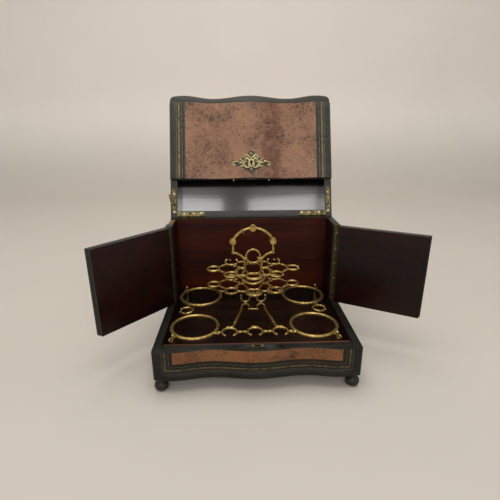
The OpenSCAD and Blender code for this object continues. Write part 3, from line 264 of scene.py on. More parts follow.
level = (0, 0, 0)
lidTurn = (radians(lidOpen), 0, 0)
flapTurn = (radians(lidOpen - 90), 0, 0)
acrossGrain = (0, radians(90), 0)
backTurn = (0, radians(-14), 0)
floorTurn = (0, 0, radians(90))
flapStreak = {"from": 0.03, "to": 0.058, "low": -0.07, "high": 0.02, "tint": (92, 42, 16),
    "core": (52, 27, 15)}
backScuffs = {"at": (-0.014, 0.108, 0.2047), "reach": 0.016, "tint": (150, 124, 104)}
finishes = {
    "ebony": ebonyFinish("ebonised wood", level, (18, 17, 13), (40, 38, 31), gloss=0.2),
    "ebonySide": ebonyFinish("ebonised side", acrossGrain, (19, 18, 15), (38, 36, 31)),
    "ebonyLid": ebonyFinish("ebonised lid", lidTurn, (42, 41, 36), (70, 68, 61)),
    "ebonyFlap": ebonyFinish("ebonised flap", flapTurn, (42, 41, 37), (70, 68, 62), 0.3),
    "lacquer": lacquerFinish("black lacquer", lidTurn, (10, 10, 9), (26, 25, 24)),
    "trayInside": ebonyFinish("inside of the tray", level, (22, 11, 8), (40, 22, 14), 0.4, 0.15),
    "burrFlap": burrFinish("burr of the flap", flapTurn, ((164, 120, 88), (92, 50, 28), (54, 38, 31)),
        flapStreak),
    "burrBase": burrFinish("burr of the base", level, ((138, 88, 48), (98, 56, 28), (36, 24, 18)), seed=0.3,
        coat=0.1),
    "burrLid": burrFinish("burr of the lid", lidTurn, ((150, 112, 80), (112, 72, 48), (70, 48, 38)),
        seed=0.7),
    "burrDoor": burrFinish("burr of the doors", acrossGrain, ((142, 102, 70), (104, 64, 40), (60, 42, 34)),
        seed=1.1),
    "mahogany": mahoganyFinish("mahogany back", backTurn, (82, 28, 10), (20, 6, 4), 0.36, scuffs=backScuffs),
    "mahoganyFloor": mahoganyFinish("mahogany floor", level, (48, 26, 15), (20, 10, 6), 0.2, 0.3, 0.4),
    "mahoganyDoor": mahoganyFinish("mahogany door", acrossGrain, (40, 12, 9), (16, 6, 5), 0.3, gloss=0.2),
    "liner": mahoganyFinish("mahogany edge", level, (118, 74, 56), (80, 48, 36), 0.4),
    "bareWood": mahoganyFinish("bare wood", floorTurn, (150, 112, 78), (104, 72, 48), 0.6),
    "inlay": metalFinish("inlaid brass", (150, 134, 100), (86, 78, 60), 0.4, 0.8, 0.00005),
    "inlayBase": metalFinish("inlaid brass of the base", (112, 100, 76), (62, 56, 45), 0.46, 0.85, 0.00005),
    "oldBrass": metalFinish("old brass", (138, 124, 88), (72, 64, 46), 0.4, 0.8),
    "hingeBrass": metalFinish("greenish brass", (120, 108, 70), (66, 60, 42), 0.42, 0.8),
    "scrollBrass": metalFinish("scroll brass", (206, 190, 142), (136, 122, 86), 0.4, 0.6),
    # pale brass of the lock's selvedge and locating pins, partly its own pale colour and partly painted
    # light, lighter so it shows in the shade under the flap
    "paleBrassPaintedLight": metalFinish("pale brass with painted light", (214, 200, 170), (176, 160, 126), 0.5, 0.5),
    "gilt": metalFinish("gilding", (208, 176, 106), (106, 80, 40), 0.27, 0.8, 0.0003),
    "screw": metalFinish("screw heads", (214, 204, 172), (140, 128, 98), 0.3, 0.5),
    "steel": metalFinish("steel", (160, 156, 148), (96, 92, 84), 0.36, 0.6),
    # the escutcheon's ground: coloured dark as painted shade behind the scrolls
    "shadow": ebonyFinish("painted shade ground", flapTurn, (40, 36, 27), (66, 60, 44), 0.5),
}
print("finishes made:", len(finishes))


# Meshes: small steps that the pieces share
def toMesh(bm, name):
    mesh = bpy.data.meshes.new(name)
    bm.to_mesh(mesh)
    bm.free()
    for polygon in mesh.polygons:
        polygon.use_smooth = True
    return mesh


def moveNew(bm, made, way):
    corners = [item for item in made["geom"] if isinstance(item, bmesh.types.BMVert)]
    bmesh.ops.translate(bm, vec=way, verts=corners)


def edgeChain(bm, points, closed=False):
    corners = [bm.verts.new(point) for point in points]
    ends = corners[1:] + corners[:1] if closed else corners[1:]
    return corners, [bm.edges.new(pair) for pair in zip(corners, ends)]


# A profile of radius and height, spun round an upright axis
def lathe(bm, profile, middle, steps, closed=False):
    middle = Vector(middle)
    points = [middle + Vector((radius, 0, height)) for radius, height in profile]
    corners, edges = edgeChain(bm, points, closed)
    bmesh.ops.spin(bm, geom=corners + edges, cent=middle, axis=upward, angle=2 * pi, steps=steps,
        use_merge=True, use_duplicate=False)
    bmesh.ops.remove_doubles(bm, verts=bm.verts, dist=0.001)


def softenEdges(bm, width, pick=None):
    edges = [edge for edge in bm.edges if len(edge.link_faces) == 2 and edge.calc_face_angle(0) > radians(40)
        and (pick is None or pick(edge.verts[0].co, edge.verts[1].co))]
    bmesh.ops.bevel(bm, geom=edges, offset=width, offset_type="OFFSET", segments=2, profile=0.5,
        affect="EDGES", clamp_overlap=True, material=-1)


# Finished pieces
def handOver(bm, name, body, finishNames, stands=(), place=still, angle=32, faceFinish=None,
        outward=True):
    if faceFinish:
        bm.normal_update()
        for face in bm.faces:
            face.material_index = faceFinish(face)
    bmesh.ops.transform(bm, matrix=Matrix.Scale(mm, 4) @ place, verts=bm.verts)
    if outward:
        bmesh.ops.recalc_face_normals(bm, faces=bm.faces)
    mesh = toMesh(bm, name)
    mesh.set_sharp_from_angle(angle=radians(angle))
    for finishName in finishNames:
        mesh.materials.append(finishes[finishName])
    piece = addObject(name, mesh)
    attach(piece, body)
    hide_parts(*stands)


# A copy of a node with its corners eased, and smooth where the wave was stepped
def easedCopy(node, body, finishNames, place=still, width=0, pick=None, faceFinish=None):
    bm = bmesh.new()
    bm.from_mesh(nodes[node].data)
    bmesh.ops.remove_doubles(bm, verts=bm.verts, dist=0.000002)
    bmesh.ops.transform(bm, matrix=(Matrix.Scale(mm, 4) @ place).inverted(), verts=bm.verts)
    if width:
        bmesh.ops.dissolve_limit(bm, angle_limit=radians(0.3), verts=bm.verts, edges=bm.edges)
        softenEdges(bm, width, pick)
    handOver(bm, node.replace("_", "-"), body, finishNames, [node], place, faceFinish=faceFinish,
        outward=False)


def plain(node, finishName):
    data = nodes[node].data
    data.materials.clear()
    data.materials.append(finishes[finishName])


def near(value, target, room=0.02):
    return abs(value - target) < room


def bothNear(one, two, axis, target, room=0.02):
    return near(one[axis], target, room) and near(two[axis], target, room)


# Case: base, feet, back and fixed sides
case = {"halfWidth": 165, "back": 127, "baseTop": 73.9, "wallTop": 228.4, "foot": 23, "trayFront": -106.35,
    "trayBack": 108, "tray": 154.3, "side": 13.2, "floor": 44.7, "floorThick": 12, "topBand": 6,
    "longEdge": 60, "notch": 3, "hair": 0.1}
baseRim = {"side": 153, "front": -112, "back": 126, "farSide": 167.6, "farFront": -118, "tall": 40}
foot = {"x": 157, "y": 117, "profile": [(0, 0.1), (6.8, 0.1), (7.6, 0.5), (9.8, 2.6), (11.2, 5.4),
    (11.6, 8.6), (11, 12), (9.4, 14.8), (7.2, 16.4), (6.4, 17.4), (6.6, 18.6), (8.2, 20), (8.6, 21.4),
    (8.4, case["foot"])]}


def outerBase(one, two):
    upright = abs(one.z - two.z) > baseRim["tall"] and min(one.y, two.y) > baseRim["back"]
    flat = bothNear(one, two, 2, case["baseTop"]) or bothNear(one, two, 2, case["foot"])
    outside = all(abs(end.x) > baseRim["side"] or not baseRim["front"] < end.y < baseRim["back"]
        for end in (one, two))
    farBack = case["back"] - case["hair"]
    far = max(abs(one.x), abs(two.x)) > baseRim["farSide"] or not baseRim["farFront"] < one.y < farBack
    return upright or (flat and outside and far)


def baseFinish(face):
    middle = face.calc_center_median()
    deep = case["trayFront"] - case["hair"] < middle.y < case["trayBack"] + case["hair"]
    inTray = deep and abs(middle.x) < case["tray"] + case["hair"]
    return 1 if inTray and middle.z > case["floor"] - case["floorThick"] else 0


def addFeet():
    bm = bmesh.new()
    for x in (-foot["x"], foot["x"]):
        for y in (-foot["y"], foot["y"]):
            lathe(bm, foot["profile"], (x, y, 0), 48)
    handOver(bm, "ball-feet", "case", ["ebonySide"], ["feet"], angle=50)


def backTop(one, two):
    return min(one.z, two.z) > case["wallTop"] - case["topBand"] and abs(one.x - two.x) > case["longEdge"]


def backFinish(face):
    middle = face.calc_center_median()
    return 0 if face.normal.y < -0.9 and near(middle.y, case["trayBack"], 0.1) else 1


def sideFinish(face):
    middle = face.calc_center_median()
    if abs(middle.x) < case["halfWidth"] - case["side"] + 0.3 and abs(face.normal.x) > 0.9:
        return 1
    notch = face.normal.z > 0.9 and near(middle.z, case["wallTop"] - case["notch"], 0.6)
    return 2 if notch and 1 - case["halfWidth"] < middle.x < 0 else 0


def sideOuter(one, two):
    outer = case["halfWidth"] - case["hair"]
    return min(abs(one.x), abs(two.x)) > outer or min(one.z, two.z) > case["wallTop"] - case["hair"]


easedCopy("base_frame", "case", ["ebony", "trayInside"], still, 0.8, outerBase, baseFinish)
easedCopy("bottom_board", "case", ["ebony"], still, 0.5)
addFeet()
easedCopy("base_burr", "case", ["burrBase"])
easedCopy("base_brass_lines", "case", ["inlayBase"])
easedCopy("back_panel", "case", ["mahogany", "ebony"], still, 0.6, backTop, backFinish)
for side in ("left", "right"):
    easedCopy(side + "_fixed_side", "case", ["ebonySide", "mahoganyDoor", "bareWood"],
        still, 0.5, sideOuter, sideFinish)
plain("floor_board", "mahoganyFloor")

# Thin reddish lining that shows along the front rail
liner = {"halfLength": 151.2, "thick": 1.7, "from": 44.9, "to": 74.6, "gap": 0.1}


def addLiner():
    bm = bmesh.new()
    size = (2 * liner["halfLength"], liner["thick"], liner["to"] - liner["from"])
    middle = (0, case["trayFront"] + liner["gap"] + liner["thick"] / 2, (liner["from"] + liner["to"]) / 2)
    bmesh.ops.create_cube(bm, size=1, matrix=Matrix.Translation(middle) @ Matrix.Diagonal((*size, 1)))
    softenEdges(bm, 0.4)
    handOver(bm, "front-lining", "case", ["liner"])


addLiner()
print("case made")

# Doors: an outer layer that reaches past the inner one at the free end
door = {"in": 151.8, "out": 165, "low": 74.2, "high": 228.2, "freeEnd": -100, "tip": -108}


def doorFinish(face):
    return 1 if abs(face.normal.x) > 0.9 and near(face.calc_center_median().x, door["in"], 0.3) else 0


def doorEdges(one, two):
    high, low = max(one.z, two.z), min(one.z, two.z)
    atRim = low > door["high"] - 0.1 or high < door["low"] + 0.1
    atEnd = min(one.y, two.y) < door["tip"] or high > door["high"] - 0.5 or low < door["low"] + 0.5
    inside = bothNear(one, two, 0, door["in"], 0.1) and max(one.y, two.y) < door["freeEnd"]
    return atRim or inside or (bothNear(one, two, 0, door["out"], 0.1) and atEnd)


for side, place in doorPlace.items():
    body = side + "_door"
    easedCopy(body, body, ["ebonySide", "mahoganyDoor"], place, 0.6, doorEdges, doorFinish)
    easedCopy(body + "_burr", body, ["burrDoor"], place)
    easedCopy(body + "_brass_line", body, ["inlay"], place)
    for part in ("_hinge_leaf", "_hinge_case_leaf"):
        plain(body + part, "hingeBrass")
    plain(body + "_hinge_pin", "steel")
print("doors made")

# Lid and flap
lid = {"rim": 228.7, "top": 276.7, "boardFrom": 265.2, "inside": 151.3, "front": -104.6, "back": 113.8,
    "rimFront": -116, "topFront": -110}
flap = {"low": 74.3, "high": 228.4, "front": -110, "side": 160}


def lidFinish(face):
    middle = face.calc_center_median()
    inside = abs(middle.x) < lid["inside"] and lid["front"] < middle.y < lid["back"]
    return 1 if inside and lid["rim"] + 1.5 < middle.z < lid["boardFrom"] + 0.2 else 0


def boardFinish(face):
    return 1 if face.normal.z < -0.9 and near(face.calc_center_median().z, lid["boardFrom"], 0.1) else 0


def rimEdges(height, front):
    side, back = case["halfWidth"] - case["hair"], case["back"] - case["hair"]

    def pick(one, two):
        edge = min(abs(one.x), abs(two.x)) > side or max(one.y, two.y) < front or min(one.y, two.y) > back
        return bothNear(one, two, 2, height) and edge

    return pick


easedCopy("lid_frame", "lid", ["ebonyLid", "lacquer"], lidPlace, 0.5,
    rimEdges(lid["rim"], lid["rimFront"]), lidFinish)
easedCopy("lid_top_board", "lid", ["ebonyLid", "lacquer"], lidPlace, 1.2,
    rimEdges(lid["top"], lid["topFront"]), boardFinish)
for part in ("lid_top", "lid_front"):
    easedCopy(part + "_burr", "lid", ["burrLid"], lidPlace)
    easedCopy(part + "_brass_lines", "lid", ["inlay"], lidPlace)

# The flap's front is a wave: a crest in the middle, hollows to the sides and crests near the ends
wave = {"mean": 121.75, "amp": 3.45, "hollow": 76, "crest": 61}
lock = {"z": flap["low"] + 31.5, "proud": 0.35, "halfWidth": 7, "halfHeight": 9}
veneer = {"thick": 0.6, "across": 100, "up": 40}


def waveY(x):
    x = abs(x)
    if x <= wave["hollow"]:
        return -(wave["mean"] + wave["amp"] * cos(pi * x / wave["hollow"]))
    return -(wave["mean"] - wave["amp"] * cos(pi * (x - wave["hollow"]) / wave["crest"]))


def flapEdges(one, two):
    rim = bothNear(one, two, 2, flap["low"]) or bothNear(one, two, 2, flap["high"])
    return rim and (max(one.y, two.y) < flap["front"] or abs(one.x) > flap["side"])


# One smooth sheet of veneer on the wave, open behind the keyhole
def addFlapBurr():
    away = (Matrix.Scale(mm, 4) @ flapPlace).inverted()
    spots = [away @ vertex.co for vertex in nodes["flap_burr"].data.vertices]
    left, right = min(spot.x for spot in spots), max(spot.x for spot in spots)
    low, high = min(spot.z for spot in spots), max(spot.z for spot in spots)
    bm = bmesh.new()
    bmesh.ops.create_grid(bm, x_segments=veneer["across"], y_segments=veneer["up"], size=0.5)
    for vertex in bm.verts:
        x = left + (vertex.co.x + 0.5) * (right - left)
        vertex.co = (x, waveY(x), low + (vertex.co.y + 0.5) * (high - low))
    hidden = []
    for face in bm.faces:
        middle = face.calc_center_median()
        if abs(middle.x) < lock["halfWidth"] and abs(middle.z - lock["z"]) < lock["halfHeight"]:
            hidden.append(face)
    bmesh.ops.delete(bm, geom=hidden, context="FACES")
    sheet = bmesh.ops.extrude_face_region(bm, geom=bm.faces[:], use_keep_orig=True)
    moveNew(bm, sheet, (0, veneer["thick"], 0))
    handOver(bm, "flap-burr", "flap", ["burrFlap"], ["flap_burr"], flapPlace, 50)


easedCopy("flap_board", "flap", ["ebonyFlap"], flapPlace, 0.4, flapEdges)
addFlapBurr()
easedCopy("flap_brass_lines", "flap", ["inlay"], flapPlace)
fittings = {
    "oldBrass": ["left_lid_corner_plate", "right_lid_corner_plate", "left_lid_hinge_case_leaf",
        "right_lid_hinge_case_leaf", "flap_hinge_lid_leaves", "flap_hinge_leaves", "lock_case"],
    "steel": ["lid_hinge_pins", "flap_hinge_pins", "lock_bolt"],
    # the selvedge and pins take brass lightened as painted light for the shade under the flap
    "paleBrassPaintedLight": ["lock_selvedge", "locating_pins"],
    "hingeBrass": ["left_stop_link", "strike_plate"],
}
for finishName, names in fittings.items():
    for node in names:
        plain(node, finishName)
print("lid and flap made")

# Slotted screws, each with its head at a place and facing along a direction
screw = {"head": 1.7, "neck": 0.95, "depth": 1.0, "slot": 0.42, "slotDepth": 0.4, "proud": 0.12, "sunk": 0.18}
doorLeaf = {"from": door["low"], "length": 154, "shares": (0.1, 0.3, 0.5, 0.7, 0.9), "x": 158.75, "y": 50}
caseLeaf = {"from": 96.8, "length": 55, "shares": (1 / 6, 3 / 6, 5 / 6), "y": 121.3, "down": 2.39}
lidLeaf = {"from": 96.8, "length": 55, "shares": (0.1, 0.4, 0.75), "y": 117.95, "armX": 157.75,
    "armAlong": (8.5, 46)}
flapLeaf = {"from": 79, "length": 42, "shares": (0.16, 0.5, 0.84), "y": -106.9, "down": 5.5, "lidY": -104.25,
    "lidUp": 7.9}
strike = {"x": 7.8, "y": -111.9}
ahead, behind, downward = (0, 1, 0), (0, -1, 0), (0, 0, -1)


def screwMesh():
    bm = bmesh.new()
    bmesh.ops.create_cone(bm, cap_ends=True, segments=24, radius1=screw["neck"], radius2=screw["head"],
        depth=screw["depth"])
    bmesh.ops.translate(bm, vec=upward * (screw["proud"] - screw["depth"] / 2), verts=bm.verts)
    for edge in (-1, 1):
        bmesh.ops.bisect_plane(bm, geom=bm.verts[:] + bm.edges[:] + bm.faces[:],
            plane_co=(edge * screw["slot"] / 2, 0, 0), plane_no=(1, 0, 0))
    slot = [face for face in bm.faces if face.normal.z > 0.9 and abs(face.calc_center_median().x) < 0.05]
    moveNew(bm, bmesh.ops.extrude_face_region(bm, geom=slot), upward * -screw["slotDepth"])
    return toMesh(bm, "screw")


screwShape = screwMesh()


def addScrews(name, body, places, stands, place=still):
    bm = bmesh.new()
    for number, (point, facing) in enumerate(places):
        before = len(bm.verts)
        bm.from_mesh(screwShape)
        bm.verts.ensure_lookup_table()
        turn = Vector(facing).to_track_quat("Z", "Y").to_matrix().to_4x4()
        turn = turn @ Matrix.Rotation(radians(35 + 67 * number), 4, "Z")
        bmesh.ops.transform(bm, matrix=Matrix.Translation(point) @ turn, verts=bm.verts[before:])
    handOver(bm, name, body, ["screw"], [stands], place, outward=False)


def rowAlong(leaf):
    return [leaf["from"] + leaf["length"] * share for share in leaf["shares"]]


doorRow, caseRow, flapRow = (rowAlong(leaf) for leaf in (doorLeaf, caseLeaf, flapLeaf))
caseScrews = [((side * strike["x"], strike["y"], case["baseTop"]), upward) for side in (-1, 1)]
lidScrews = []
flapScrews = []
for side in (-1, 1):
    caseScrews += [((side * x, caseLeaf["y"], lid["rim"] - caseLeaf["down"]), upward) for x in caseRow]
    caseScrews += [((side * doorLeaf["x"], doorLeaf["y"] + screw["sunk"], z), behind) for z in doorRow]
    lidScrews += [((side * x, lidLeaf["y"], lid["rim"]), downward) for x in rowAlong(lidLeaf)]
    lidScrews += [((side * lidLeaf["armX"], lidAxis.y - along, lid["rim"]), downward)
        for along in lidLeaf["armAlong"]]
    lidScrews += [((side * x, flapLeaf["lidY"], lid["rim"] + flapLeaf["lidUp"]), ahead) for x in flapRow]
    flapScrews += [((side * x, flapLeaf["y"], flap["high"] - flapLeaf["down"]), ahead) for x in flapRow]
addScrews("case-screws", "case", caseScrews, "case_screws")
for side, place in doorPlace.items():
    doorScrews = [((doorLeaf["x"], doorLeaf["y"] - screw["sunk"], z), ahead) for z in doorRow]
    addScrews(side + "-door-screws", side + "_door", doorScrews, side + "_door_screws", place)
addScrews("lid-screws", "lid", lidScrews, "lid_screws", lidPlace)
addScrews("flap-screws", "flap", flapScrews, "flap_screws", flapPlace)
print("screws made")


# Round tubes along curves, and the mesh that a curve gives
def tubeCurve(name, sides):
    curve = bpy.data.curves.new(name, "CURVE")
    curve.dimensions = "3D"
    curve.bevel_depth = 1
    curve.bevel_resolution = sides
    curve.use_fill_caps = True
    return curve


def meshOf(curve):
    holder = addObject(curve.name, curve)
    bpy.context.view_layer.update()
    shaped = holder.evaluated_get(bpy.context.evaluated_depsgraph_get())
    bm = bmesh.new()
    bm.from_mesh(bpy.data.meshes.new_from_object(shaped))
    bpy.data.objects.remove(holder)
    return bm


# Cast bars: paths with a thickness that changes along them, and knobs, gathered into one piece
class Casting:
    def __init__(self):
        self.bars = []
        self.knobs = []

    def bar(self, points, thickness, closed=False):
        sizes = thickness if isinstance(thickness, list) else [thickness] * 2
        count, last = len(points), len(sizes) - 1
        widths = []
        for step in range(count):
            at = step / (count - 1) * last
            low = min(int(at), last - 1)
            widths.append(sizes[low] + (sizes[low + 1] - sizes[low]) * (at - low))
        self.bars.append(([Vector(point) for point in points], widths, closed))

    def knob(self, point, size, squash=(1, 1, 1)):
        self.knobs.append((Vector(point), size, squash))

    def scroll(self, points, thickness, size):
        self.bar(points, thickness)
        self.knob(points[-1], size)

    def build(self, name, stands, sides=3):
        curve = tubeCurve(name, sides)
        for points, thickness, closed in self.bars:
            spline = curve.splines.new("POLY")
            spline.points.add(len(points) - 1)
            for target, point, size in zip(spline.points, points, thickness):
                target.co = (*point, 1)
                target.radius = size
            spline.use_cyclic_u = closed
        bm = meshOf(curve)
        for point, size, squash in self.knobs:
            shape = Matrix.Translation(point) @ Matrix.Diagonal((*squash, 1))
            bmesh.ops.create_uvsphere(bm, u_segments=14, v_segments=9, radius=size, matrix=shape)
        handOver(bm, name, "rack", ["gilt"], [stands], rackPlace, 60)


# Points on an arc that lies flat, or stands upright
def curved(middle, radius, start, sweep, steps, upright=False):
    points = []
    for step in range(steps + 1):
        angle = radians(start + sweep * step / steps)
        across, along = radius * cos(angle), radius * sin(angle)
        offset = (across, 0, along) if upright else (across, along, 0)
        points.append(Vector(middle) + Vector(offset))
    return points


def standing(middle, radius, start, sweep, steps=24):
    return curved(middle, radius, start, sweep, steps, True)


def straight(start, end, steps=4):
    return [Vector(start).lerp(Vector(end), step / steps) for step in range(steps + 1)]


# A smooth line through three points
def curvedThrough(first, middle, last):
    pull = middle * 2 - (first + last) / 2
    shares = [step / 10 for step in range(11)]
    return [first.lerp(pull, share).lerp(pull.lerp(last, share), share) for share in shares]


# An upright spiral in the plane of a direction
def spiral(middle, out, start, sweep, steps, wide, narrow):
    points = []
    for step in range(steps + 1):
        angle = radians(start + sweep * step / steps)
        size = wide + (narrow - wide) * step / steps
        points.append(middle + (out * cos(angle) + upward * sin(angle)) * size)
    return points


# An open ring with ball tips. The gap's middle is at openAt, and rise lifts the tips
def horseshoe(casting, middle, radius, openAt, gap, thick, thin, rise=0.0):
    steps = 28
    points = curved(middle, radius, openAt + gap / 2, 360 - gap, steps)
    for step, point in enumerate(points):
        away = abs(step / steps - 0.5) * 2
        point.z += rise * max(0, away - 0.6) / 0.4
    casting.bar(points, [thin, thick * 0.9, thick, thick * 0.9, thin])
    for point in (points[0], points[-1]):
        casting.knob(point, thin * 1.45)


rack = {"ring": 79.7, "ringX": 102.75, "ringY": 59.7, "lower": 132.2, "upper": 162.7, "grip": 238.2,
    "gripX": 35.7, "hip": 213.7, "elbow": 193, "kneeX": 23.5, "kneeDown": 4.4, "shoulder": 28.1,
    "column": 15.2, "flareX": 21.3, "flare": 145.7, "bowl": 131.5, "neckX": 7.5, "neck": 113.7,
    "hookX": 14.5, "hook": 104.7, "hookR": 8.5, "curlR": 7.4, "curl": 84.2, "eye": 185.7, "eyeR": 12.6}

# Decanter rings: a rounded band with a fine groove round its crown
band = [(36.6, 1.2), (37.6, 2.5), (38.9, 2.95), (39.5, 2.75), (40.3, 3.0), (41.7, 2.4), (42.6, 0.9)]


def addRing(name, sideX, sideY):
    bm = bmesh.new()
    outline = band + [(x, -z) for x, z in reversed(band)]
    lathe(bm, outline, (sideX * rack["ringX"], sideY * rack["ringY"], rack["ring"]), 120, True)
    handOver(bm, name.replace("_", "-"), "rack", ["gilt"], [name], rackPlace, 50)


for side, sideX in (("left", -1), ("right", 1)):
    for depth, sideY in (("front", -1), ("back", 1)):
        addRing(f"{side}_{depth}_ring", sideX, sideY)

# Chains of three horseshoes at the front and back, and open scrolls at the sides
chain = {"y": 80, "step": 43, "r": 12.6, "gap": 76, "sideX": 124.6, "sideR": 11.6, "sideGap": 56, "leafR": 2,
    "toRingX": 32, "toRingY": 24, "thin": 1.9, "thick": 2.9}


def collarBar(casting, start, end):
    thin, thick = chain["thin"], chain["thick"]
    sizes = [thin, thin, thick, thin * 0.9, thick * 1.05, thin * 0.9, thick, thin, thin]
    casting.bar(straight(start, end, 12), sizes)


def leafPair(casting, middle, sideX):
    for sideY in (-1, 1):
        start = Vector(middle) + Vector((0, sideY * chain["leafR"], 0))
        points = curved(start, chain["leafR"], -90 * sideY, 200 * sideX * sideY, 10)
        casting.scroll(points, [1.2, 1.0, 0.6], 0.9)


def addChains():
    casting = Casting()
    z, r, step = rack["ring"], chain["r"], chain["step"]
    for sideY in (-1, 1):
        y, ringY = sideY * chain["y"], sideY * (rack["ringY"] + chain["toRingY"])
        for x in (-step, 0, step):
            horseshoe(casting, (x, y, z), r, sideY * 90, chain["gap"], 2.5, 1.6)
            for lean in (-3.2, 3.2):
                casting.knob((x + lean, y - sideY * (r + 0.3), z + 1.5), 2.3, (1.5, 0.8, 0.8))
            casting.knob((x, y - sideY * (r + 1.4), z + 2), 1.5)
        for sideX in (-1, 1):
            ringEnd = (sideX * (rack["ringX"] - chain["toRingX"]), ringY, z)
            collarBar(casting, (sideX * (r + 0.5), y, z), (sideX * (step - r - 0.5), y, z))
            collarBar(casting, (sideX * (step + r + 0.5), y, z), ringEnd)
            leafPair(casting, (sideX * (step + r + 6), y + sideY * 1.5, z), sideX)
            for end in (r + 2.2, step - r - 2.2):
                casting.bar([(sideX * end, y + across, z) for across in (-3, 0, 3)], [1.5, 2.4, 1.5])
    for sideX in (-1, 1):
        middle = Vector((sideX * chain["sideX"], 0, z))
        horseshoe(casting, middle, chain["sideR"], 90 - 90 * sideX, chain["sideGap"], 2.5, 1.8)
        for sideY in (-1, 1):
            start = middle + Vector((0, sideY * (chain["sideR"] + 0.4), 0))
            points = [start + Vector((-sideX * x, sideY * y, 0)) for x, y in ((0, 0), (2, 4), (4, 9))]
            casting.bar(points, [2.4, 2.2, 2.4])
            casting.knob(start, 2.9, (1.4, 0.8, 0.8))
    casting.build("ring-scrolls", "ring_scrolls")


addChains()

# Legs outside the corners of the rings: a ball on top, an ear below it and a scroll at the foot
leg = {"outX": 32.4, "outY": 34.8, "top": 3, "toRing": 40,
    "rises": (0.3, 1.2, 2.2, 6, 12, 20, 28, 33, 36, 38),
    "thick": [3.5, 3.6, 2.4, 1.9, 2.4, 2.0, 1.8, 2.4, 2.0, 1.6]}


def addLegs():
    casting = Casting()
    for sideX in (-1, 1):
        for sideY in (-1, 1):
            ring = Vector((sideX * rack["ringX"], sideY * rack["ringY"], rack["ring"]))
            out = Vector((sideX, sideY, 0)).normalized()
            head = ring + Vector((sideX * leg["outX"], sideY * leg["outY"], leg["top"]))
            sole = Vector((head.x, head.y, case["floor"]))
            casting.bar([sole + upward * rise for rise in leg["rises"]], leg["thick"])
            casting.knob(head + upward * 1.2, 2.9)
            casting.knob(head + upward * 3.8, 1.5)
            ringEdge = ring + out * leg["toRing"]
            sag = head.lerp(ringEdge, 0.5) - upward * leg["top"]
            casting.bar([head - upward * leg["top"], sag, ringEdge], [1.8, 1.4, 1.9])
            curl = spiral(sole + upward * 9 + out * 4, out, -60, 300, 16, 4.4, 2.2)
            ear = spiral(head - upward * 5 + out * 4.6, out, -150, 290, 14, 3.2, 3.2)
            casting.scroll(curl, [1.7, 1.5, 1.1], 1.5)
            casting.scroll(ear, [1.5, 1.4, 1.2], 1.7)
    casting.build("rack-legs", "rack_legs")


addLegs()

# Glass tiers: an end ring, a front and a back ring on each side, and a crown in the middle of each long side
tier = {"endX": 71.5, "frontX": 39.5, "frontY": 29.5, "crownY": 37, "endR": 11, "frontR": 11.6,
    "crownR": 13.6, "thick": 2.05, "thin": 1.6, "lift": 3.2, "stem": 1.4, "armX": 25, "armEnd": 35,
    "linkThick": 2.2, "linkThin": 1.4}


def linkBar(casting, first, firstR, second, secondR):
    thick, thin = tier["linkThick"], tier["linkThin"]
    way = (second - first).normalized()
    points = straight(first + way * firstR, second - way * secondR)
    casting.bar(points, [thick, thin, thick * 0.95, thin, thick])
    casting.knob(points[2], thick * 1.05)


# A ring that dips in at one angle, as a heart does
def heartRing(middle, radius, dip):
    steps = 40
    points = []
    for step in range(steps):
        angle = 2 * pi * step / steps
        gap = abs((angle - dip + pi) % (2 * pi) - pi)
        shrink = 1 - 0.3 * max(0, 1 - gap / 0.55) ** 1.4
        points.append(Vector(middle) + Vector((cos(angle), sin(angle), 0)) * radius * shrink)
    return points


def addPalmette(casting, z):
    crownY = tier["crownY"]
    for sideX in (-1, 1):
        casting.scroll(curved((sideX * 6.8, -crownY - 4, z), 3.0, 90, sideX * 260, 14), [1.4, 1.2, 0.9], 1.3)
    root = Vector((0, -crownY - 11.5, z + 0.4))
    for lean in (-58, -30, 0, 30, 58):
        tip = root + Vector((sin(radians(lean)), cos(radians(lean)), 0)) * (9.5 if lean else 12)
        casting.bar([root, root.lerp(tip, 0.55), tip], [1.2, 1.7, 0.8])
    casting.knob(root, 2.2, (1.2, 1.2, 0.8))


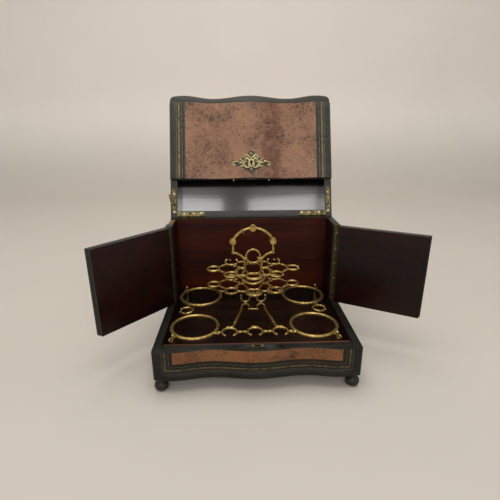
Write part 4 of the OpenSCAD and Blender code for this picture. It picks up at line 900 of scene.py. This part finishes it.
def addTier(name, z, upper):
    casting = Casting()
    thick, thin, crownR, frontR = (tier[key] for key in ("thick", "thin", "crownR", "frontR"))

    def hoop(middle, radius, steps=36):
        casting.bar(curved(middle, radius, 0, 360, steps)[:-1], thick, True)

    for sideX in (-1, 1):
        end = Vector((sideX * tier["endX"], 0, z))
        front, back = (Vector((sideX * tier["frontX"], sideY * tier["frontY"], z)) for sideY in (-1, 1))
        if upper and sideX > 0:
            horseshoe(casting, end, tier["endR"], 0, 46, thick + 0.2, thin)
        else:
            hoop(end, tier["endR"])
        if upper:
            horseshoe(casting, front, frontR, -42, 40, thick + 0.2, thin)
            horseshoe(casting, back, frontR, 90, 108, thick + 0.2, thin, tier["lift"])
        else:
            hoop(front, frontR)
            hoop(back, frontR)
        for sideY, middle in ((-1, front), (1, back)):
            crown = Vector((0, sideY * tier["crownY"], z))
            linkBar(casting, end, tier["endR"], middle, frontR)
            linkBar(casting, middle, frontR, crown, crownR)
            stem = Vector((sideX * (rack["column"] + tier["stem"]), 0, z))
            lean = radians(35)
            goal = crown + Vector((sideX * sin(lean), -sideY * cos(lean), 0)) * crownR
            casting.bar([stem, stem.lerp(goal, 0.4) + Vector((sideX * 1.6, 0, 0)), goal], [2.2, 1.4, 2.0])
            start = middle + Vector((-sideX * 7, -sideY * 14.5, 0))
            curl = curved(start, 4.2, 90 + 20 * sideX, sideX * -sideY * 230, 14)
            casting.scroll(curl, [1.7, 1.4, 1.0], 1.6)
            bud = middle + Vector((sideX * 3, sideY * (frontR + 0.8), 0.6))
            casting.knob(bud, 2.0, (1.5, 0.8, 0.7))
            elbow = Vector((sideX * tier["armX"], sideY * 2.5, z + 0.6))
            hand = Vector((sideX * tier["armEnd"], sideY * (tier["frontY"] - frontR), z))
            casting.bar(curvedThrough(stem, elbow, hand), [2.4, 2.1, 2.6, 1.9, 2.2])
            casting.knob(elbow + upward * 0.2, 2.6, (1.5, 0.9, 0.8))
    casting.bar(heartRing((0, -tier["crownY"], z), crownR, pi / 2), thick + 0.2, True)
    if upper:
        horseshoe(casting, (0, tier["crownY"], z), crownR, 90, 108, thick + 0.3, thin, tier["lift"])
    else:
        hoop((0, tier["crownY"], z), crownR, 40)
        addPalmette(casting, z)
    casting.build(name, name.replace("-", "_"))


addTier("lower-glass-tier", rack["lower"], False)
addTier("upper-glass-tier", rack["upper"], True)
print("tiers made")

# Handle and column
brace = {"endX": 37.5, "endBack": 2, "strutX": 6, "strutY": 66, "knob": 6,
    "shares": (0, 0.05, 0.1, 0.4, 0.62, 0.7, 0.78, 0.86, 1),
    "thick": [2.2, 3.0, 1.9, 2.7, 3.2, 2.4, 2.2, 3.1, 2.4]}
rosettePlaces = [(0, rack["grip"]), (-rack["gripX"], rack["hip"]), (rack["gripX"], rack["hip"])]


def addColumn(casting, side):
    def spot(x, z):
        return Vector((side * x, 0, z))

    elbow = spot(rack["gripX"], rack["elbow"])
    shin = [spot(rack["gripX"], rack["hip"]), elbow + upward * 10.7, elbow - upward]
    knee = spot(rack["kneeX"], rack["elbow"] - rack["kneeDown"])
    waist = spot(rack["column"], rack["elbow"] - rack["shoulder"] + rack["column"])
    bend = spot(rack["column"], rack["upper"])
    flare = spot(rack["flareX"], rack["flare"])
    neck = spot(rack["neckX"], rack["neck"])
    casting.bar(shin, [2.4, 1.9, 2.7])
    casting.knob(elbow + Vector((side * 0.5, 0, -0.6)), 2.9, (1, 0.9, 1))
    casting.bar(curvedThrough(elbow, knee, waist), [2.6, 2.3, 2.0, 2.2])
    casting.bar(straight(waist, bend, 2), [2.2, 1.9, 2.4])
    casting.knob(bend, 3.0)
    casting.bar(straight(bend, flare, 2), [2.3, 2.0, 2.5])
    casting.knob(flare, 3.2, (1, 0.9, 1.2))
    casting.bar([flare, flare.lerp(neck, 0.5) + Vector((side * 0.8, 0, 0)), neck], [2.4, 1.9, 2.1])
    hookStart = spot(rack["hookX"] - rack["hookR"], rack["hook"])
    hook = standing(spot(rack["hookX"], rack["hook"]), rack["hookR"], 90 + 90 * side, side * 205)
    casting.scroll([neck, hookStart] + hook[1:], [2.1, 1.9, 1.7, 1.9, 1.6, 1.2], 2.6)
    curl = standing(spot(rack["hookX"], rack["curl"]), rack["curlR"], 90 + 120 * side, -side * 230)
    casting.bar(curl, [1.5, 2.0, 2.2, 2.0, 1.8])
    casting.knob(curl[0], 2.4)
    between = (rack["hook"] - rack["hookR"] + rack["curl"] + rack["curlR"]) / 2
    casting.knob(spot(rack["hookX"], between), 3.0, (1.1, 0.8, 1))
    braceEnd = Vector((side * brace["endX"], brace["endBack"] - chain["y"] + chain["r"], rack["ring"]))
    points = [curl[-1].lerp(braceEnd, share) for share in brace["shares"]]
    casting.bar(points, brace["thick"])
    casting.knob(points[0], 2.7)
    casting.knob(points[brace["knob"]], 3.3)
    strutEnd = Vector((side * brace["strutX"], brace["strutY"], rack["ring"]))
    casting.bar(straight(hookStart, strutEnd), [1.7, 1.4, 1.7])
    casting.knob(spot(rack["eyeR"] + 1.6, rack["eye"] - 4.5), 2.9, (0.8, 0.8, 1.2))


# The radius and half angle of an arc from half its width and its height
def arcOf(halfWidth, height):
    radius = (halfWidth ** 2 + height ** 2) / (2 * height)
    return radius, degrees(asin(halfWidth / radius))


def addHandle():
    casting = Casting()
    topR, topAngle = arcOf(rack["gripX"], rack["grip"] - rack["hip"])
    arch = standing((0, 0, rack["grip"] - topR), topR, 90 - topAngle, 2 * topAngle, 40)
    casting.bar(arch, [2.1, 2.7, 2.5, 2.1, 2.0, 2.1, 2.5, 2.7, 2.1])
    for side in (-1, 1):
        addColumn(casting, side)
    bowlR, bowlAngle = arcOf(rack["flareX"], rack["flare"] - rack["bowl"])
    bowl = standing((0, 0, rack["bowl"] + bowlR), bowlR, 270 - bowlAngle, 2 * bowlAngle)
    casting.bar(bowl, [2.0, 2.3, 2.6, 2.3, 2.0])
    casting.bar(standing((0, 0, rack["eye"]), rack["eyeR"], 0, 360, 48)[:-1], 1.9, True)
    barX = rack["hookX"] - rack["curlR"] * cos(radians(30))
    barZ = rack["curl"] - rack["curlR"] * sin(radians(30))
    casting.bar([(barX * share / 3, 0, barZ) for share in (-3, -1, 1, 3)], [1.5, 1.9, 1.9, 1.5])
    for x, z in rosettePlaces:
        casting.knob((x, 0, z), 5.0, (1, 0.5, 1))
    casting.build("rack-handle", "rack_handle")


addHandle()

# Rosettes of eight petals round a boss, on both faces of the handle
rosette = {"petals": 8, "petalR": 3.6, "rimR": 5.3, "face": 3.1}


def addRosettes():
    casting = Casting()
    for x, z in rosettePlaces:
        for side in (-1, 1):
            y = side * rosette["face"]
            casting.knob((x, y - side * 0.4, z), rosette["rimR"], (1, 0.16, 1))
            casting.knob((x, y, z), 1.8, (1, 0.5, 1))
            petals = standing((x, y - side * 0.1, z), rosette["petalR"], 0, 360, rosette["petals"])
            for petal in petals[:-1]:
                casting.knob(petal, 1.45, (1, 0.45, 1))
            edge = standing((x, y - side * 0.3, z), rosette["rimR"], 0, 360, 32)
            casting.bar(edge[:-1], 0.6, True)
    casting.build("handle-rosettes", "handle_rosettes", sides=2)


addRosettes()
print("rack made")

# Escutcheon: raised scrolls laid on the wave of the flap, over a ground coloured dark as painted shade
# between them. Each scroll is drawn once, for the right half, as points across and up from the keyhole and a
# thickness at each
scrolls = [
    ([(0, 20), (0, 15), (0, 10), (0, 5.5)], [0.5, 1.3, 1.7, 1.2]),
    ([(3.6, 17.2), (1.6, 17.6), (0, 19)], [0.5, 1.0, 1.1]),
    ([(0.6, 8), (3.4, 10), (6.4, 11.6), (9, 11)], [1.4, 1.5, 1.2, 0.6]),
    ([(3, 9.6), (5.6, 13.4), (9.2, 15), (12.4, 12.8), (14.6, 9.4)], [0.7, 1.4, 1.6, 1.4, 0.7]),
    ([(4.6, 1), (5.4, 5.6), (9.2, 7.6), (12.6, 5.4), (12, 1.6), (9, 1.2)], [0.9, 1.3, 1.5, 1.4, 1.0, 0.7]),
    ([(22.5, 7.4), (19.4, 4.4), (16.8, 1), (15.6, -3), (13.6, -6.6), (9.6, -8.2)],
        [0.5, 1.3, 2.0, 2.2, 1.8, 0.8]),
    ([(12.4, 0.6), (14.6, -1.8), (15.8, -5), (18.8, -7.4), (23.4, -7.6)], [0.8, 1.4, 1.8, 1.5, 0.6]),
    ([(18.6, -2.4), (21.4, -0.4), (24.6, -1.6)], [1.2, 2.1, 1.0]),
    ([(25, 0.6), (28.4, 2.2), (31.6, 1.4)], [0.9, 1.9, 1.0]),
    ([(30, 1.6), (34, 1.8), (37, -0.6), (37.2, -4), (34.6, -5.6), (32.8, -4)],
        [0.8, 1.2, 1.5, 1.4, 1.1, 0.8]),
    ([(3.2, -8.4), (6.2, -10.4), (10.6, -10.2), (14.8, -8.8)], [0.8, 1.2, 1.3, 0.6]),
    ([(0, -10.6), (0, -14), (0, -18), (0, -21)], [1.5, 2.8, 2.0, 0.5]),
    ([(5, 1), (5.6, -3), (4.8, -6.6), (2.6, -9)], [0.9, 1.1, 1.2, 0.8]),
]
buds = [(3.9, -5.2, 1.0), (14.7, 9.2, 1.3), (9.2, 11.2, 1.0), (22.6, 7.6, 1.1), (23.6, -7.6, 1.1),
    (32.6, -3.9, 1.3), (9, 1.4, 1.1), (21.4, -1.2, 1.9), (28.4, 1.8, 1.7)]
relief = {"swell": 1.25, "flatten": 0.5, "budFlatten": 0.55}


def addScrollPlate():
    # the plate under the scrolls takes the dark ground, which is painted shade
    easedCopy("escutcheon", "flap", ["shadow"], flapPlace)
    curve = tubeCurve("scrolls", 3)
    for side in (-1, 1):
        for points, thickness in scrolls:
            spline = curve.splines.new("BEZIER")
            spline.bezier_points.add(len(points) - 1)
            for target, (x, z), size in zip(spline.bezier_points, points, thickness):
                target.co = (side * x, 0, z + lock["z"])
                target.radius = size * relief["swell"]
                target.handle_left_type = target.handle_right_type = "AUTO"
            spline.resolution_u = 8
    bm = meshOf(curve)
    bmesh.ops.scale(bm, vec=(1, relief["flatten"], 1), verts=bm.verts)
    flatter = Matrix.Diagonal((1, relief["budFlatten"], 1, 1))
    for side in (-1, 1):
        for x, z, size in buds:
            bmesh.ops.create_uvsphere(bm, u_segments=12, v_segments=8, radius=size,
                matrix=Matrix.Translation((side * x, 0, z + lock["z"])) @ flatter)
    for vertex in bm.verts:
        vertex.co.y += waveY(vertex.co.x) - lock["proud"]
    handOver(bm, "escutcheon-scrolls", "flap", ["scrollBrass"], [], flapPlace, 60)


addScrollPlate()

# Keyhole rim: a shield round the lock's opening, right half from the top down, then mirrored
rim = {"outline": [(0, 7), (4, 5.6), (5.8, 1.6), (5.2, -3.6), (3.2, -8.2), (0, -10.4)],
    "keyhole": [(0, 3.7), (2.5, 2.5), (3.2, 0), (1.7, -2.2), (1.6, -6), (0, -6.6)], "thick": 1.1}


def addKeyRim():
    bm = bmesh.new()
    edges = []
    for key in ("outline", "keyhole"):
        loop = rim[key] + [(-x, z) for x, z in reversed(rim[key][1:-1])]
        points = [(x, waveY(x) - lock["proud"], z + lock["z"]) for x, z in loop]
        edges += edgeChain(bm, points, True)[1]
    bmesh.ops.bridge_loops(bm, edges=edges)
    raised = bmesh.ops.extrude_face_region(bm, geom=bm.faces[:], use_keep_orig=True)
    moveNew(bm, raised, (0, -rim["thick"], 0))
    bmesh.ops.recalc_face_normals(bm, faces=bm.faces)
    softenEdges(bm, 0.3)
    handOver(bm, "keyhole-rim", "flap", ["scrollBrass"], [], flapPlace, 40)


addKeyRim()
print("escutcheon made")

# Floor, backdrop and light
stage = {"floor": (209, 202, 191), "wall": (248, 240, 230), "front": -2.6, "back": 1.5, "bend": 0.7, "top": 4,
    "half": 4, "steps": 16}


def paleFinish(name):
    finish = Finish(name)
    soft = finish.noise(3, None, 2).ramp(0.2, 0.8, 0.97, 1.0)
    tone = finish.axis(finish.place, 2).ramp(0.0, 0.5).mix(stage["floor"], stage["wall"])
    tone = finish.vector("SCALE", {0: tone, 3: soft})
    return finish.shade(Base_Color=tone, Roughness=0.85, Specular_IOR_Level=0.2)


def addStage():
    bm = bmesh.new()
    side, back, bend = -stage["half"], stage["back"], stage["bend"]
    points = [(side, stage["front"], 0), (side, back, 0)]
    for step in range(1, stage["steps"] + 1):
        angle = radians(90 * step / stage["steps"])
        points.append((side, back + bend * sin(angle), bend * (1 - cos(angle))))
    points.append((side, back + bend, stage["top"]))
    edges = edgeChain(bm, points)[1]
    moveNew(bm, bmesh.ops.extrude_edge_only(bm, edges=edges), (2 * stage["half"], 0, 0))
    bmesh.ops.recalc_face_normals(bm, faces=bm.faces)
    mesh = toMesh(bm, "floor")
    mesh.materials.append(paleFinish("pale floor"))
    addObject("floor", mesh)


addStage()
# The two front panels are what the lacquer and the burr mirror, with a gap between them
lamps = [
    {"name": "left panel", "place": (-0.32, -1.5, 1.0), "aim": (-0.1, 0.1, 0.3), "size": (0.36, 0.4),
        "power": 2.4},
    {"name": "right panel", "place": (0.285, -1.5, 1.0), "aim": (0.1, 0.1, 0.3), "size": (0.47, 0.4),
        "power": 3},
    {"name": "overhead", "place": (-0.1, 0.1, 2.3), "aim": (0, 0.05, 0.1), "size": (1.8, 1.6), "power": 24},
]
room = {"tint": (1, 0.985, 0.965, 1), "strength": 0.53, "lampTint": (1, 0.985, 0.96)}


def addLights():
    for lamp in lamps:
        light = bpy.data.lights.new(lamp["name"], "AREA")
        light.shape = "RECTANGLE"
        light.size, light.size_y = lamp["size"]
        light.energy = lamp["power"]
        light.color = room["lampTint"]
        holder = addObject(lamp["name"], light)
        holder.location = lamp["place"]
        way = Vector(lamp["aim"]) - Vector(lamp["place"])
        holder.rotation_euler = way.to_track_quat("-Z", "Y").to_euler()
    world = bpy.data.worlds.new("room")
    bpy.context.scene.world = world
    world.use_nodes = True
    back = world.node_tree.nodes["Background"]
    back.inputs[0].default_value = room["tint"]
    back.inputs[1].default_value = room["strength"]


addLights()
bpy.context.scene.view_settings.view_transform = "Standard"
print("stage and light made")
